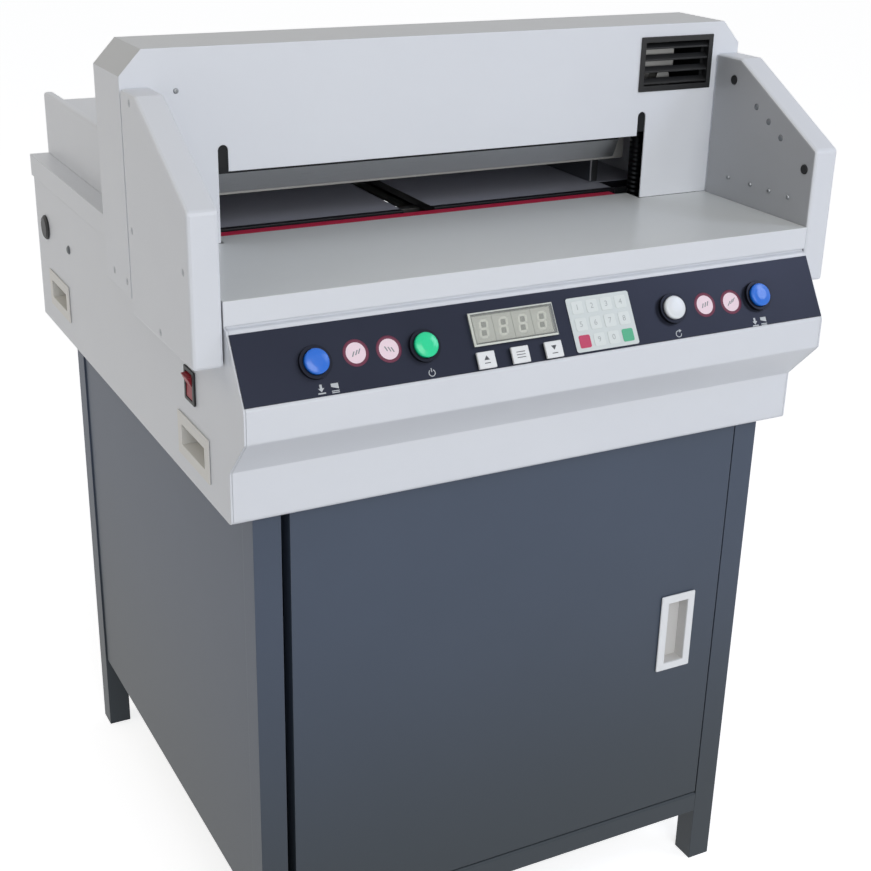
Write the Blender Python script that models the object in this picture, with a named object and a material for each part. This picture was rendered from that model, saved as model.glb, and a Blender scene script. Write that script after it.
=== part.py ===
# Electric paper cutter on a sheet-steel cabinet stand.
# Metres, +Z up, the front looks along -Y, X to the right, floor at Z = 0.

import math

import bmesh
import bpy
from mathutils import Matrix, Vector

# Driving dimensions of the whole machine
OVERALL_WIDTH = 0.680
OVERALL_DEPTH = 0.7115
CASING_BOTTOM = 0.571
CLAMP_OPENING = 0.038
SIDE_OVERHANG = 0.029

# Gaps between neighbours
GAP = 0.0003
FREE = 0.0006
OVERRUN = 0.010

# Sheet and plate thicknesses
CASING_SHEET = 0.002
HOOD_SHEET = 0.0015
CABINET_SHEET = 0.0012
TABLE_PLATE = 0.008
BEND_RADIUS = 0.002
BEND_STEPS = 3
ROUND_EDGE_SHARE = 0.5

# Depths measured back from the console's nose
NOSE_OVERHANG = 0.0393
FRONT_TABLE_DEPTH = 0.1719
HOOD_DEPTH = 0.0805

# Console profile, upwards
LOWER_BAND_HEIGHT = 0.051
NOSE_UNDERCUT_HEIGHT = 0.0411
NOSE_HEIGHT = 0.0301
SLOPE_RISE = 0.0603
CONSOLE_BELOW_TABLE = 0.0249
CONSOLE_LEDGE = 0.0052
CONSOLE_SET_IN = 0.0027
CONSOLE_RETURN = 0.035

# Keys, which stand out furthest in front
KEY_SIZE = (0.018, 0.0155)
KEY_HEIGHT = 0.003
KEY_TRAVEL = 0.0012
KEY_UP_SLOPE = 0.0115
PANEL_THICK = 0.0012

BODY_WIDTH = OVERALL_WIDTH - 2 * SIDE_OVERHANG
LOWER_BAND_TOP = CASING_BOTTOM + LOWER_BAND_HEIGHT
NOSE_BOTTOM = LOWER_BAND_TOP + NOSE_UNDERCUT_HEIGHT
NOSE_TOP = NOSE_BOTTOM + NOSE_HEIGHT
CONSOLE_TOP = NOSE_TOP + SLOPE_RISE
TABLE_TOP = CONSOLE_TOP + CONSOLE_BELOW_TABLE
PANEL_FACE = GAP + PANEL_THICK
SLOPE_RUN = Vector((NOSE_OVERHANG + CONSOLE_SET_IN - CONSOLE_LEDGE, SLOPE_RISE))
KEY_STANDS_OUT = (
    (PANEL_FACE + GAP + KEY_TRAVEL + KEY_HEIGHT) * SLOPE_RUN.normalized().y
    - (KEY_UP_SLOPE - KEY_SIZE[1] / 2) * SLOPE_RUN.normalized().x
)

NOSE_Y = KEY_STANDS_OUT - OVERALL_DEPTH / 2
REAR_Y = OVERALL_DEPTH / 2
TABLE_FRONT_Y = NOSE_Y + NOSE_OVERHANG
HOOD_FRONT_Y = TABLE_FRONT_Y + FRONT_TABLE_DEPTH
HOOD_BACK_Y = HOOD_FRONT_Y + HOOD_DEPTH
WALL_INNER_X = BODY_WIDTH / 2 - CASING_SHEET
TABLE_UNDER = TABLE_TOP - TABLE_PLATE
SHELF_TOP = TABLE_UNDER - GAP

# Throat, covers and vent
OPENING_FROM_LEFT = 0.060
OPENING_FROM_RIGHT = 0.085
HOOD_LIP_ABOVE_TABLE = 0.0676
HOOD_FACE_HEIGHT = 0.1145
COVER_ABOVE_TABLE = 0.0636
COVER_SET_IN = 0.020
LOUVRE_SIZE = (0.092, 0.056)
LOUVRE_FROM_SIDE = 0.0345
LOUVRE_BELOW_TOP = 0.0125
LOUVRE_DEPTH = 0.0055
LOUVRE_CLEARANCE = 0.002

OPENING_LEFT = OPENING_FROM_LEFT - BODY_WIDTH / 2
OPENING_RIGHT = BODY_WIDTH / 2 - OPENING_FROM_RIGHT
HOOD_LIP = TABLE_TOP + HOOD_LIP_ABOVE_TABLE
OVERALL_HEIGHT = HOOD_LIP + HOOD_FACE_HEIGHT
COVER_TOP = TABLE_TOP + COVER_ABOVE_TABLE
COVER_HALF_WIDTH = BODY_WIDTH / 2 - COVER_SET_IN
LOUVRE_X = (OVERALL_WIDTH / 2 - LOUVRE_FROM_SIDE - LOUVRE_SIZE[0], OVERALL_WIDTH / 2 - LOUVRE_FROM_SIDE)
LOUVRE_Z = (OVERALL_HEIGHT - LOUVRE_BELOW_TOP - LOUVRE_SIZE[1], OVERALL_HEIGHT - LOUVRE_BELOW_TOP)

# Screws and their nuts
KNIFE_SPINDLE_R = 0.008
CLAMP_SCREW_R = 0.006
GAUGE_SCREW_R = 0.006

MATERIALS = {
    "white_enamel": ("#E4E7EC", 0.42, 0.0),
    "slate_enamel": ("#4A505C", 0.45, 0.0),
    "grey_table_enamel": ("#C3C8C9", 0.35, 0.1),
    "navy_front_film": ("#1B2030", 0.35, 0.0),
    "black_plastic": ("#17181A", 0.45, 0.0),
    "white_plastic": ("#E8E8EA", 0.40, 0.0),
    "cream_plastic": ("#DAD8CE", 0.45, 0.0),
    "blue_button": ("#1F62E0", 0.30, 0.0),
    "green_button": ("#12C27C", 0.30, 0.0),
    "red_plastic": ("#C01024", 0.35, 0.0),
    "pale_button": ("#E9EBEE", 0.30, 0.0),
    "clear_cover": ("#C9CCC2", 0.15, 0.0),
    "red_stick": ("#B3122E", 0.50, 0.0),
    "ground_steel": ("#9A9C9E", 0.30, 1.0),
    "dark_steel": ("#2B2C2E", 0.50, 0.6),
    "machined_steel": ("#8C8F92", 0.35, 1.0),
    "cast_aluminium": ("#A9ABAD", 0.45, 1.0),
}


def srgb_to_linear(hex_colour):
    channels = [int(hex_colour[i:i + 2], 16) / 255 for i in (1, 3, 5)]
    return [c / 12.92 if c <= 0.04045 else ((c + 0.055) / 1.055) ** 2.4 for c in channels]


def make_material(name):
    if name in bpy.data.materials:
        return bpy.data.materials[name]
    colour, roughness, metallic = MATERIALS[name]
    material = bpy.data.materials.new(name)
    material.use_nodes = True
    shader = material.node_tree.nodes["Principled BSDF"]
    shader.inputs["Base Color"].default_value = (*srgb_to_linear(colour), 1)
    shader.inputs["Roughness"].default_value = roughness
    shader.inputs["Metallic"].default_value = metallic
    return material


def clear_scene():
    for item in list(bpy.data.objects):
        bpy.data.objects.remove(item, do_unlink=True)


# Solids

SEAT_R = 0.0034
SEAT_DEPTH = 0.0009
SEAT_SIDES = 14


def object_from(mesh_tool, name):
    mesh = bpy.data.meshes.new(name)
    bmesh.ops.recalc_face_normals(mesh_tool, faces=mesh_tool.faces)
    mesh_tool.to_mesh(mesh)
    mesh_tool.free()
    item = bpy.data.objects.new(name, mesh)
    bpy.context.scene.collection.objects.link(item)
    return item


def block(x, y, z, name="tool"):
    """A cuboid between the two values of x, y and z."""
    tool = bmesh.new()
    bmesh.ops.create_cube(tool, size=1)
    size = [max(pair) - min(pair) for pair in (x, y, z)]
    middle = [(pair[0] + pair[1]) / 2 for pair in (x, y, z)]
    bmesh.ops.transform(tool, matrix=Matrix.Translation(middle) @ Matrix.Diagonal((*size, 1)), verts=tool.verts)
    return object_from(tool, name)


def prism(outline, axis, low, high, name="tool"):
    """An outline of two coordinates, in X, Y, Z order, extruded along the third axis."""
    places = {
        "X": lambda a, b, c: (c, a, b),
        "Y": lambda a, b, c: (a, c, b),
        "Z": lambda a, b, c: (a, b, c),
    }[axis]
    tool = bmesh.new()
    face = tool.faces.new([tool.verts.new(places(a, b, low)) for a, b in outline])
    grown = bmesh.ops.extrude_face_region(tool, geom=[face])
    moved = [item for item in grown["geom"] if isinstance(item, bmesh.types.BMVert)]
    bmesh.ops.translate(tool, vec=Vector(places(0, 0, high - low)), verts=moved)
    return object_from(tool, name)


def rod(centre, axis, low, high, radius, sides=24, name="tool"):
    """A round bar along an axis; centre holds the other two coordinates."""
    turns = [2 * math.pi * i / sides for i in range(sides)]
    outline = [(centre[0] + radius * math.cos(turn), centre[1] + radius * math.sin(turn)) for turn in turns]
    return prism(outline, axis, low, high, name)


def screw_seats(axis, face, outward, places):
    """Cutters for shallow seats of flush screws in a face; outward is the sign of the way it looks."""
    depth = sorted((face - outward * SEAT_DEPTH, face + outward * OVERRUN))
    return [rod(place, axis, *depth, SEAT_R, sides=SEAT_SIDES) for place in places]


def turned(profile, sides=28, name="tool"):
    """A profile of (radius, height) spun about Z; its first and last radius are zero."""
    tool = bmesh.new()
    verts = [tool.verts.new((radius, 0, height)) for radius, height in profile]
    edges = [tool.edges.new(pair) for pair in zip(verts, verts[1:])]
    bmesh.ops.spin(tool, geom=verts + edges, cent=(0, 0, 0), axis=(0, 0, 1), angle=2 * math.pi, steps=sides,
                   use_duplicate=False)
    bmesh.ops.remove_doubles(tool, verts=tool.verts, dist=GAP / 10)
    return object_from(tool, name)


def folded(path, thickness, inner_radius=BEND_RADIUS, steps=BEND_STEPS):
    """The outline of a folded sheet: its left side follows the path, with rounded bends."""
    left, right = [], []
    points = [Vector(point) for point in path]
    for i, point in enumerate(points):
        before = (point - points[i - 1]).normalized() if i > 0 else None
        after = (points[i + 1] - point).normalized() if i < len(points) - 1 else None
        if before is None or after is None:
            along = after or before
            left.append(point)
            right.append(point + thickness * Vector((along.y, -along.x)))
            continue
        turn = math.atan2(before.x * after.y - before.y * after.x, before.dot(after))
        normal = Vector((before.y, -before.x))
        side = -1 if turn > 0 else 1
        radius_left = inner_radius if turn > 0 else inner_radius + thickness
        radius_right = inner_radius + thickness if turn > 0 else inner_radius
        centre = point - before * radius_left * math.tan(abs(turn) / 2) + side * normal * radius_left
        for k in range(steps + 1):
            spoke = Matrix.Rotation(turn * k / steps, 2) @ normal
            left.append(centre - side * spoke * radius_left)
            right.append(centre - side * spoke * radius_right)
    return [tuple(p) for p in left], [tuple(p) for p in reversed(right)]


def combine(base, tools, operation):
    """Boolean the tools into the base one by one and keep the result as a plain mesh."""
    for tool in tools:
        modifier = base.modifiers.new(operation.lower(), "BOOLEAN")
        modifier.operation = operation
        modifier.object = tool
        graph = bpy.context.evaluated_depsgraph_get()
        result = bpy.data.meshes.new_from_object(base.evaluated_get(graph))
        base.modifiers.clear()
        base.data = result
        bpy.data.objects.remove(tool, do_unlink=True)
    return base


def cut(base, *tools):
    return combine(base, tools, "DIFFERENCE")


def join(base, *tools):
    return combine(base, tools, "UNION")


def soften(item, width, segments=2, angle=40):
    """Round every sharp edge of a solid."""
    tool = bmesh.new()
    tool.from_mesh(item.data)
    limit = math.radians(angle)
    sharp = [edge for edge in tool.edges if edge.is_manifold and edge.calc_face_angle() > limit]
    bmesh.ops.bevel(tool, geom=sharp, offset=width, segments=segments, profile=ROUND_EDGE_SHARE, affect="EDGES",
                    clamp_overlap=True)
    tool.to_mesh(item.data)
    tool.free()
    return item


def finish(item, name, material):
    """Name a finished piece and give it its material and shading."""
    item.name = name
    item.data.name = name
    item.data.materials.clear()
    item.data.materials.append(make_material(material))
    item.data.shade_smooth()
    item.data.set_sharp_from_angle(angle=math.radians(35))
    return item


def set_origin(item, place):
    """Move a piece's origin to a point on its joint's axis."""
    item.data.transform(Matrix.Translation(-Vector(place)))
    item.location = place
    return item


def mirrored(side, low, high):
    """A span in X on the left (-1) or right (+1) side of the machine."""
    return sorted((side * low, side * high))


# Cabinet stand

POST_SIZE = 0.0275
POST_WALL = 0.002
POST_FOOT = 0.004
CABINET_SET_IN = 0.0247
CABINET_SETBACK = 0.0135
CABINET_BEFORE_REAR = 0.05
PANEL_RECESS = 0.002
PANEL_BOTTOM = 0.1027
RAIL_BOTTOM = 0.0699
PAN_TOP = 0.0955
PAN_REAR_FLANGE = 0.012
DOOR_BOTTOM = 0.0981
DOOR_TOP_GAP = 0.005
DOOR_DEPTH = 0.020
DOOR_SHEET = 0.0015
DOOR_HEM = 0.014
HINGE_GAP = 0.0088
LATCH_GAP = 0.0016
PIN_R = 0.004
PIN_INSET = 0.007
PIN_LENGTH = 0.016
PIN_HEAD_R = 0.007
PIN_HEAD = 0.002
HANDLE_WIDTH = 0.044
HANDLE_HEIGHT = 0.094
HANDLE_FROM_RIGHT = 0.0315
HANDLE_MIDDLE_Z = 0.3295
HANDLE_RIM = 0.0075
HANDLE_RIM_PROUD = 0.0025
HANDLE_POCKET_DEPTH = 0.014
HANDLE_WALL = 0.0015

CABINET_FRONT_Y = TABLE_FRONT_Y + CABINET_SETBACK
CABINET_REAR_Y = REAR_Y - CABINET_BEFORE_REAR
CABINET_WIDTH = BODY_WIDTH - 2 * CABINET_SET_IN
POST_INNER_X = CABINET_WIDTH / 2 - POST_SIZE
DOOR_LEFT_X = -POST_INNER_X + HINGE_GAP
DOOR_RIGHT_X = POST_INNER_X - LATCH_GAP
DOOR_TOP = CASING_BOTTOM - DOOR_TOP_GAP
PIN_X = DOOR_LEFT_X + PIN_INSET
PIN_Y = CABINET_FRONT_Y + DOOR_DEPTH / 2
CABINET_TOP = CASING_BOTTOM - GAP


def make_posts():
    """Square tubes that stand on the floor on a welded foot plate and carry the casing."""
    for side, side_name in ((-1, "left"), (1, "right")):
        for front, end_name in ((True, "front"), (False, "rear")):
            x = mirrored(side, POST_INNER_X, CABINET_WIDTH / 2)
            y0 = CABINET_FRONT_Y if front else CABINET_REAR_Y - POST_SIZE
            tube = block(x, (y0, y0 + POST_SIZE), (0, CABINET_TOP))
            bore = block((x[0] + POST_WALL, x[1] - POST_WALL), (y0 + POST_WALL, y0 + POST_SIZE - POST_WALL),
                         (POST_FOOT, CABINET_TOP + OVERRUN))
            finish(cut(tube, bore), f"post_{end_name}_{side_name}", "slate_enamel")


def make_cabinet_panels():
    """Side and back panels: trays whose hems reach in as far as the posts do."""
    hem = POST_SIZE - PANEL_RECESS
    y = (CABINET_FRONT_Y + POST_SIZE + GAP, CABINET_REAR_Y - POST_SIZE - GAP)
    z = (PANEL_BOTTOM, CABINET_TOP)
    for side, side_name in ((-1, "left"), (1, "right")):
        outer = CABINET_WIDTH / 2 - PANEL_RECESS
        tray = block(mirrored(side, outer - hem, outer), y, z)
        pocket = block(mirrored(side, outer - hem - OVERRUN, outer - CABINET_SHEET),
                       (y[0] + CABINET_SHEET, y[1] - CABINET_SHEET), (z[0] + CABINET_SHEET, z[1] - CABINET_SHEET))
        finish(cut(tray, pocket), f"side_panel_{side_name}", "slate_enamel")
    x = (-POST_INNER_X + GAP, POST_INNER_X - GAP)
    rear = CABINET_REAR_Y - PANEL_RECESS
    tray = block(x, (rear - hem, rear), z)
    pocket = block((x[0] + CABINET_SHEET, x[1] - CABINET_SHEET), (rear - hem - OVERRUN, rear - CABINET_SHEET),
                   (z[0] + CABINET_SHEET, z[1] - CABINET_SHEET))
    finish(cut(tray, pocket), "back_panel", "slate_enamel")


def make_floor_pan():
    """Cabinet floor, folded down in front as the bottom rail and up behind."""
    rear = CABINET_REAR_Y - POST_SIZE - GAP - DOOR_SHEET
    left, right = folded([(CABINET_FRONT_Y, RAIL_BOTTOM), (CABINET_FRONT_Y, PAN_TOP), (rear, PAN_TOP),
                          (rear, PAN_TOP + PAN_REAR_FLANGE)], DOOR_SHEET)
    pan = prism(left + right, "X", -POST_INNER_X + GAP, POST_INNER_X - GAP)
    hole = rod((PIN_X, PIN_Y), "Z", RAIL_BOTTOM, PAN_TOP + OVERRUN, PIN_R + GAP)
    finish(cut(pan, hole), "floor_pan", "slate_enamel")


def make_door():
    """Folded door tray that turns on two pins near its left edge."""
    x = (DOOR_LEFT_X, DOOR_RIGHT_X)
    y = (CABINET_FRONT_Y, CABINET_FRONT_Y + DOOR_DEPTH)
    z = (DOOR_BOTTOM, DOOR_TOP)
    door = block(x, y, z)
    inside = block((x[0] + DOOR_SHEET, x[1] - DOOR_SHEET), (y[0] + DOOR_SHEET, y[1] - DOOR_SHEET),
                   (z[0] + DOOR_SHEET, z[1] - DOOR_SHEET))
    back = block((x[0] + DOOR_HEM, x[1] - DOOR_HEM), (y[1] - DOOR_DEPTH / 2, y[1] + OVERRUN),
                 (z[0] + DOOR_HEM, z[1] - DOOR_HEM))
    pin_holes = [rod((PIN_X, PIN_Y), "Z", z[0] - OVERRUN, z[0] + OVERRUN, PIN_R + GAP),
                 rod((PIN_X, PIN_Y), "Z", z[1] - OVERRUN, z[1] + OVERRUN, PIN_R + GAP)]
    hx, hz = handle_span(-HANDLE_RIM + FREE)
    window = block(hx, (y[0] - OVERRUN, y[0] + DOOR_DEPTH / 2), hz)
    cut(door, join(back, inside), *pin_holes, window)
    set_origin(door, (PIN_X, PIN_Y, 0))
    finish(door, "door", "slate_enamel")


def handle_span(grow):
    middle = DOOR_RIGHT_X - HANDLE_FROM_RIGHT - HANDLE_WIDTH / 2
    return ((middle - HANDLE_WIDTH / 2 - grow, middle + HANDLE_WIDTH / 2 + grow),
            (HANDLE_MIDDLE_Z - HANDLE_HEIGHT / 2 - grow, HANDLE_MIDDLE_Z + HANDLE_HEIGHT / 2 + grow))


def make_door_handle():
    """Flush moulded pull: a rim outside the door and a pocket through it."""
    front = CABINET_FRONT_Y - GAP
    rim_x, rim_z = handle_span(0)
    rim = soften(block(rim_x, (front - HANDLE_RIM_PROUD, front), rim_z), HANDLE_RIM_PROUD / 2)
    cup_x, cup_z = handle_span(-HANDLE_RIM)
    depth = CABINET_FRONT_Y + HANDLE_POCKET_DEPTH
    cup = block(cup_x, (front - HANDLE_RIM_PROUD / 2, depth), cup_z)
    pocket_x, pocket_z = handle_span(-HANDLE_RIM - HANDLE_WALL)
    pocket = block(pocket_x, (front - OVERRUN, depth - HANDLE_WALL), pocket_z)
    handle = cut(join(rim, cup), pocket)
    set_origin(handle, (PIN_X, PIN_Y, 0))
    finish(handle, "door_handle", "white_plastic")


def make_door_pins():
    """The lower pin stands in the floor pan, the upper one hangs under the casing."""
    lower = turned([(0, PAN_TOP - DOOR_SHEET - GAP - PIN_HEAD), (PIN_HEAD_R, PAN_TOP - DOOR_SHEET - GAP - PIN_HEAD),
                    (PIN_HEAD_R, PAN_TOP - DOOR_SHEET - GAP), (PIN_R, PAN_TOP - DOOR_SHEET - GAP),
                    (PIN_R, DOOR_BOTTOM + PIN_LENGTH), (0, DOOR_BOTTOM + PIN_LENGTH)], sides=20)
    upper = turned([(0, DOOR_TOP - PIN_LENGTH), (PIN_R, DOOR_TOP - PIN_LENGTH), (PIN_R, CABINET_TOP - PIN_HEAD),
                    (PIN_HEAD_R, CABINET_TOP - PIN_HEAD), (PIN_HEAD_R, CABINET_TOP), (0, CABINET_TOP)], sides=20)
    for pin, name in ((lower, "door_pin_lower"), (upper, "door_pin_upper")):
        pin.location = (PIN_X, PIN_Y, 0)
        finish(pin, name, "machined_steel")


# Lower casing

RIM_BAND_HEIGHT = 0.0251
RIM_BAND_PROUD = 0.0025
WALL_FLANGE = 0.032
WALL_FLANGE_SHEET = 0.002
GRIP_WIDTH = 0.087
GRIP_HEIGHT = 0.044
GRIP_RIM = 0.010
GRIP_PROUD = 0.0015
GRIP_DEPTH = 0.022
GRIP_WALL = 0.0015
GRIP_BEFORE_HOOD = 0.0784
GRIP_FRONT_UP = 0.041
GRIP_FROM_REAR = 0.0925
GRIP_REAR_UP = 0.048
PLUG_FROM_REAR = 0.0465
PLUG_UP = 0.120
PLUG_R = 0.0145
PLUG_BODY_R = 0.012
PLUG_DOME = 0.004
PLUG_LENGTH = 0.010
ROCKER_FROM_FRONT = 0.0966
ROCKER_UP = 0.100
ROCKER_FRAME_SIZE = (0.027, 0.033)
ROCKER_FRAME_RIM = 0.0025
ROCKER_FRAME_PROUD = 0.002
ROCKER_FRAME_DEPTH = 0.014
ROCKER_HALF = 0.0115
ROCKER_TILT = -12.0
ROCKER_WALL = 0.0018
REAR_SCREW_INSET = 0.012
REAR_VENT_FROM_MIDDLE = 0.145
REAR_VENT_SLOT = (0.070, 0.004)
REAR_VENT_SLOTS = 6
REAR_VENT_PITCH = 0.010
REAR_VENT_UP = 0.045

GRIP_FRONT = (HOOD_FRONT_Y - GRIP_BEFORE_HOOD, CASING_BOTTOM + GRIP_FRONT_UP)
GRIP_REAR = (REAR_Y - GRIP_FROM_REAR, CASING_BOTTOM + GRIP_REAR_UP)
PLUG_CENTRE = (REAR_Y - PLUG_FROM_REAR, CASING_BOTTOM + PLUG_UP)
ROCKER_CENTRE = (TABLE_FRONT_Y + ROCKER_FROM_FRONT, CASING_BOTTOM + ROCKER_UP)


def console_path():
    """Outer line of the console from its bottom return up to behind the table's apron."""
    back = TABLE_FRONT_Y + CONSOLE_SET_IN
    return [(TABLE_FRONT_Y + CONSOLE_RETURN, CASING_BOTTOM), (TABLE_FRONT_Y, CASING_BOTTOM),
            (TABLE_FRONT_Y, LOWER_BAND_TOP), (NOSE_Y, NOSE_BOTTOM), (NOSE_Y, NOSE_TOP),
            (back - CONSOLE_LEDGE, CONSOLE_TOP), (back, CONSOLE_TOP), (back, SHELF_TOP - WALL_FLANGE_SHEET - GAP)]


def console_slope():
    """Frame of the sloped front: x to the right, y up the slope, z outwards."""
    low = Vector((0, NOSE_Y, NOSE_TOP))
    high = Vector((0, TABLE_FRONT_Y + CONSOLE_SET_IN - CONSOLE_LEDGE, CONSOLE_TOP))
    up = (high - low).normalized()
    across = Vector((1, 0, 0))
    frame = Matrix((across, up, across.cross(up))).transposed().to_4x4()
    return Matrix.Translation(low) @ frame, (high - low).length


def make_base_tray():
    """Casing floor with the rear wall folded up."""
    front = TABLE_FRONT_Y + CONSOLE_RETURN + GAP
    top = SHELF_TOP - WALL_FLANGE_SHEET - GAP
    left, right = folded([(REAR_Y, top), (REAR_Y, CASING_BOTTOM), (front, CASING_BOTTOM)], CASING_SHEET)
    half = WALL_INNER_X - GAP
    tray = prism(left + right, "X", -half, half)
    heights = (CASING_BOTTOM + REAR_SCREW_INSET, (CASING_BOTTOM + top) / 2, top - REAR_SCREW_INSET)
    screws = [(side * (half - REAR_SCREW_INSET), z) for side in (-1, 1) for z in heights]
    cut(tray, *screw_seats("Y", REAR_Y, 1, screws))
    for side in (-1, 1):
        x = mirrored(side, REAR_VENT_FROM_MIDDLE, REAR_VENT_FROM_MIDDLE + REAR_VENT_SLOT[0])
        for i in range(REAR_VENT_SLOTS):
            low = CASING_BOTTOM + REAR_VENT_UP + i * REAR_VENT_PITCH
            cut(tray, block(x, (REAR_Y - OVERRUN, REAR_Y + OVERRUN), (low, low + REAR_VENT_SLOT[1])))
    finish(tray, "base_tray", "white_enamel")


def grip_centres():
    return (("front", GRIP_FRONT), ("rear", GRIP_REAR))


def make_side_walls():
    """Side plates with the console's outline, an inward top flange and a proud rim band behind the hood."""
    left, _ = folded(console_path(), CASING_SHEET)
    outline = [point for point in left if point[0] < TABLE_FRONT_Y + CONSOLE_RETURN / 2]
    outline = outline[:-1] + [(outline[-1][0], SHELF_TOP), (REAR_Y, SHELF_TOP), (REAR_Y, CASING_BOTTOM)]
    for side, side_name in ((-1, "left"), (1, "right")):
        wall = prism(outline, "X", *mirrored(side, WALL_INNER_X, BODY_WIDTH / 2))
        flange_x = mirrored(side, BODY_WIDTH / 2 - WALL_FLANGE, BODY_WIDTH / 2)
        flange_z = (SHELF_TOP - WALL_FLANGE_SHEET, SHELF_TOP)
        front_flange = block(flange_x, (TABLE_FRONT_Y + CONSOLE_SET_IN, HOOD_FRONT_Y), flange_z)
        rear_flange = block(flange_x, (HOOD_BACK_Y + GAP, REAR_Y), flange_z)
        band = block(mirrored(side, BODY_WIDTH / 2 - CASING_SHEET / 2, BODY_WIDTH / 2 + RIM_BAND_PROUD),
                     (HOOD_BACK_Y + GAP, REAR_Y), (SHELF_TOP - RIM_BAND_HEIGHT, SHELF_TOP))
        join(wall, front_flange, rear_flange, band)
        across = mirrored(side, WALL_INNER_X - OVERRUN, BODY_WIDTH / 2 + OVERRUN)
        for _, (y, z) in grip_centres():
            half_y = GRIP_WIDTH / 2 - GRIP_RIM + FREE
            half_z = GRIP_HEIGHT / 2 - GRIP_RIM + FREE
            cut(wall, block(across, (y - half_y, y + half_y), (z - half_z, z + half_z)))
        if side < 0:
            half_y, half_z = (size / 2 - ROCKER_FRAME_RIM + GAP for size in ROCKER_FRAME_SIZE)
            y, z = ROCKER_CENTRE
            cut(wall, rod(PLUG_CENTRE, "X", *across, PLUG_BODY_R + GAP),
                block(across, (y - half_y, y + half_y), (z - half_z, z + half_z)))
        finish(wall, f"side_wall_{side_name}", "white_enamel")


def make_grips():
    """Moulded lifting cups set into the side walls."""
    for side, side_name in ((-1, "left"), (1, "right")):
        for end_name, (y, z) in grip_centres():
            face = BODY_WIDTH / 2 + GAP
            half = (GRIP_WIDTH / 2, GRIP_HEIGHT / 2)
            rim = soften(block(mirrored(side, face, face + GRIP_PROUD), (y - half[0], y + half[0]),
                               (z - half[1], z + half[1])), GRIP_PROUD / 2)
            cup_half = (half[0] - GRIP_RIM, half[1] - GRIP_RIM)
            cup = block(mirrored(side, BODY_WIDTH / 2 - GRIP_DEPTH, face + GRIP_PROUD / 2),
                        (y - cup_half[0], y + cup_half[0]), (z - cup_half[1], z + cup_half[1]))
            hollow = (cup_half[0] - GRIP_WALL, cup_half[1] - GRIP_WALL)
            pocket = block(mirrored(side, BODY_WIDTH / 2 - GRIP_DEPTH + GRIP_WALL, face + OVERRUN),
                           (y - hollow[0], y + hollow[0]), (z - hollow[1], z + hollow[1]))
            finish(cut(join(rim, cup), pocket), f"grip_{side_name}_{end_name}", "cream_plastic")


def make_side_plug():
    """Domed blanking plug in the left wall."""
    plug = turned([(0, -PLUG_LENGTH), (PLUG_BODY_R, -PLUG_LENGTH), (PLUG_BODY_R, GAP), (PLUG_R, GAP),
                   (PLUG_R, PLUG_DOME / 2), (PLUG_BODY_R, PLUG_DOME), (0, PLUG_DOME)])
    plug.data.transform(Matrix.Rotation(-math.pi / 2, 4, "Y"))
    plug.location = (-BODY_WIDTH / 2, *PLUG_CENTRE)
    finish(plug, "side_plug", "black_plastic")


def make_front_skin():
    """The console: one sheet folded along the front profile, pierced for the controls."""
    left, right = folded(console_path(), CASING_SHEET)
    skin = prism(left + right, "X", -WALL_INNER_X + GAP, WALL_INNER_X - GAP)
    slope, _ = console_slope()
    tools = []
    for _, u, _ in button_places():
        tools.append(rod((u, BUTTON_UP_SLOPE), "Z", -OVERRUN, OVERRUN, BUTTON_STEM_R + FREE))
    for _, u in key_places():
        tools.append(key_hole(u, FREE))
    for tool in tools:
        tool.data.transform(slope)
    finish(cut(skin, *tools), "front_skin", "white_enamel")


# Controls on the sloped front

PANEL_SIDE_MARGIN = 0.0015
PANEL_LOW = 0.003
PANEL_TOP_MARGIN = 0.0041
BEZEL_R = 0.015
BEZEL_BORE = 0.0118
BEZEL_HEIGHT = 0.0045
BEZEL_FLOOR = 0.0005
BUTTON_R = 0.0114
BUTTON_STEM_R = 0.008
BUTTON_STEM = 0.018
BUTTON_TRAVEL = 0.003
BUTTON_SKIRT = 0.0035
BUTTON_CROWN = 0.0016
BUTTON_BELOW_MIDDLE = 0.002
KEY_STEM = (0.008, 0.006)
KEY_STEM_LENGTH = 0.010
KEY_PITCH = 0.0354
WINDOW_SIZE = (0.0885, 0.031)
WINDOW_UP_SLOPE = 0.040
WINDOW_HEIGHT = 0.005
WINDOW_WALL = 0.0015
KEYPAD_SIZE = (0.070, 0.0525)
KEYPAD_UP_SLOPE = 0.0308
KEYPAD_FROM_WINDOW = 0.0165
KEYPAD_RAISE = 0.0006

PANEL_HALF_WIDTH = BODY_WIDTH / 2 - PANEL_SIDE_MARGIN
PANEL_HIGH = SLOPE_RUN.length - PANEL_TOP_MARGIN
BUTTON_UP_SLOPE = (PANEL_LOW + PANEL_HIGH) / 2 - BUTTON_BELOW_MIDDLE

# Places across the panel, as shares of its half width
BUTTON_SHARES = (
    ("button_blue_left", -0.7755, "blue_button"),
    ("button_green", -0.4372, "green_button"),
    ("button_white", 0.4275, "pale_button"),
    ("button_blue_right", 0.7615, "blue_button"),
)
WINDOW_SHARE = -0.1396

WINDOW_X = WINDOW_SHARE * PANEL_HALF_WIDTH
KEYPAD_X = WINDOW_X + WINDOW_SIZE[0] / 2 + KEYPAD_FROM_WINDOW + KEYPAD_SIZE[0] / 2


def button_places():
    """Name, place across the panel and colour of each push button."""
    return [(name, share * PANEL_HALF_WIDTH, material) for name, share, material in BUTTON_SHARES]


def key_places():
    """The three keys stand centred below the display."""
    return (("key_up", WINDOW_X - KEY_PITCH), ("key_middle", WINDOW_X), ("key_down", WINDOW_X + KEY_PITCH))


def key_hole(u, play):
    half = (KEY_STEM[0] / 2 + play, KEY_STEM[1] / 2 + play)
    return block((u - half[0], u + half[0]), (KEY_UP_SLOPE - half[1], KEY_UP_SLOPE + half[1]), (-OVERRUN, OVERRUN))


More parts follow.
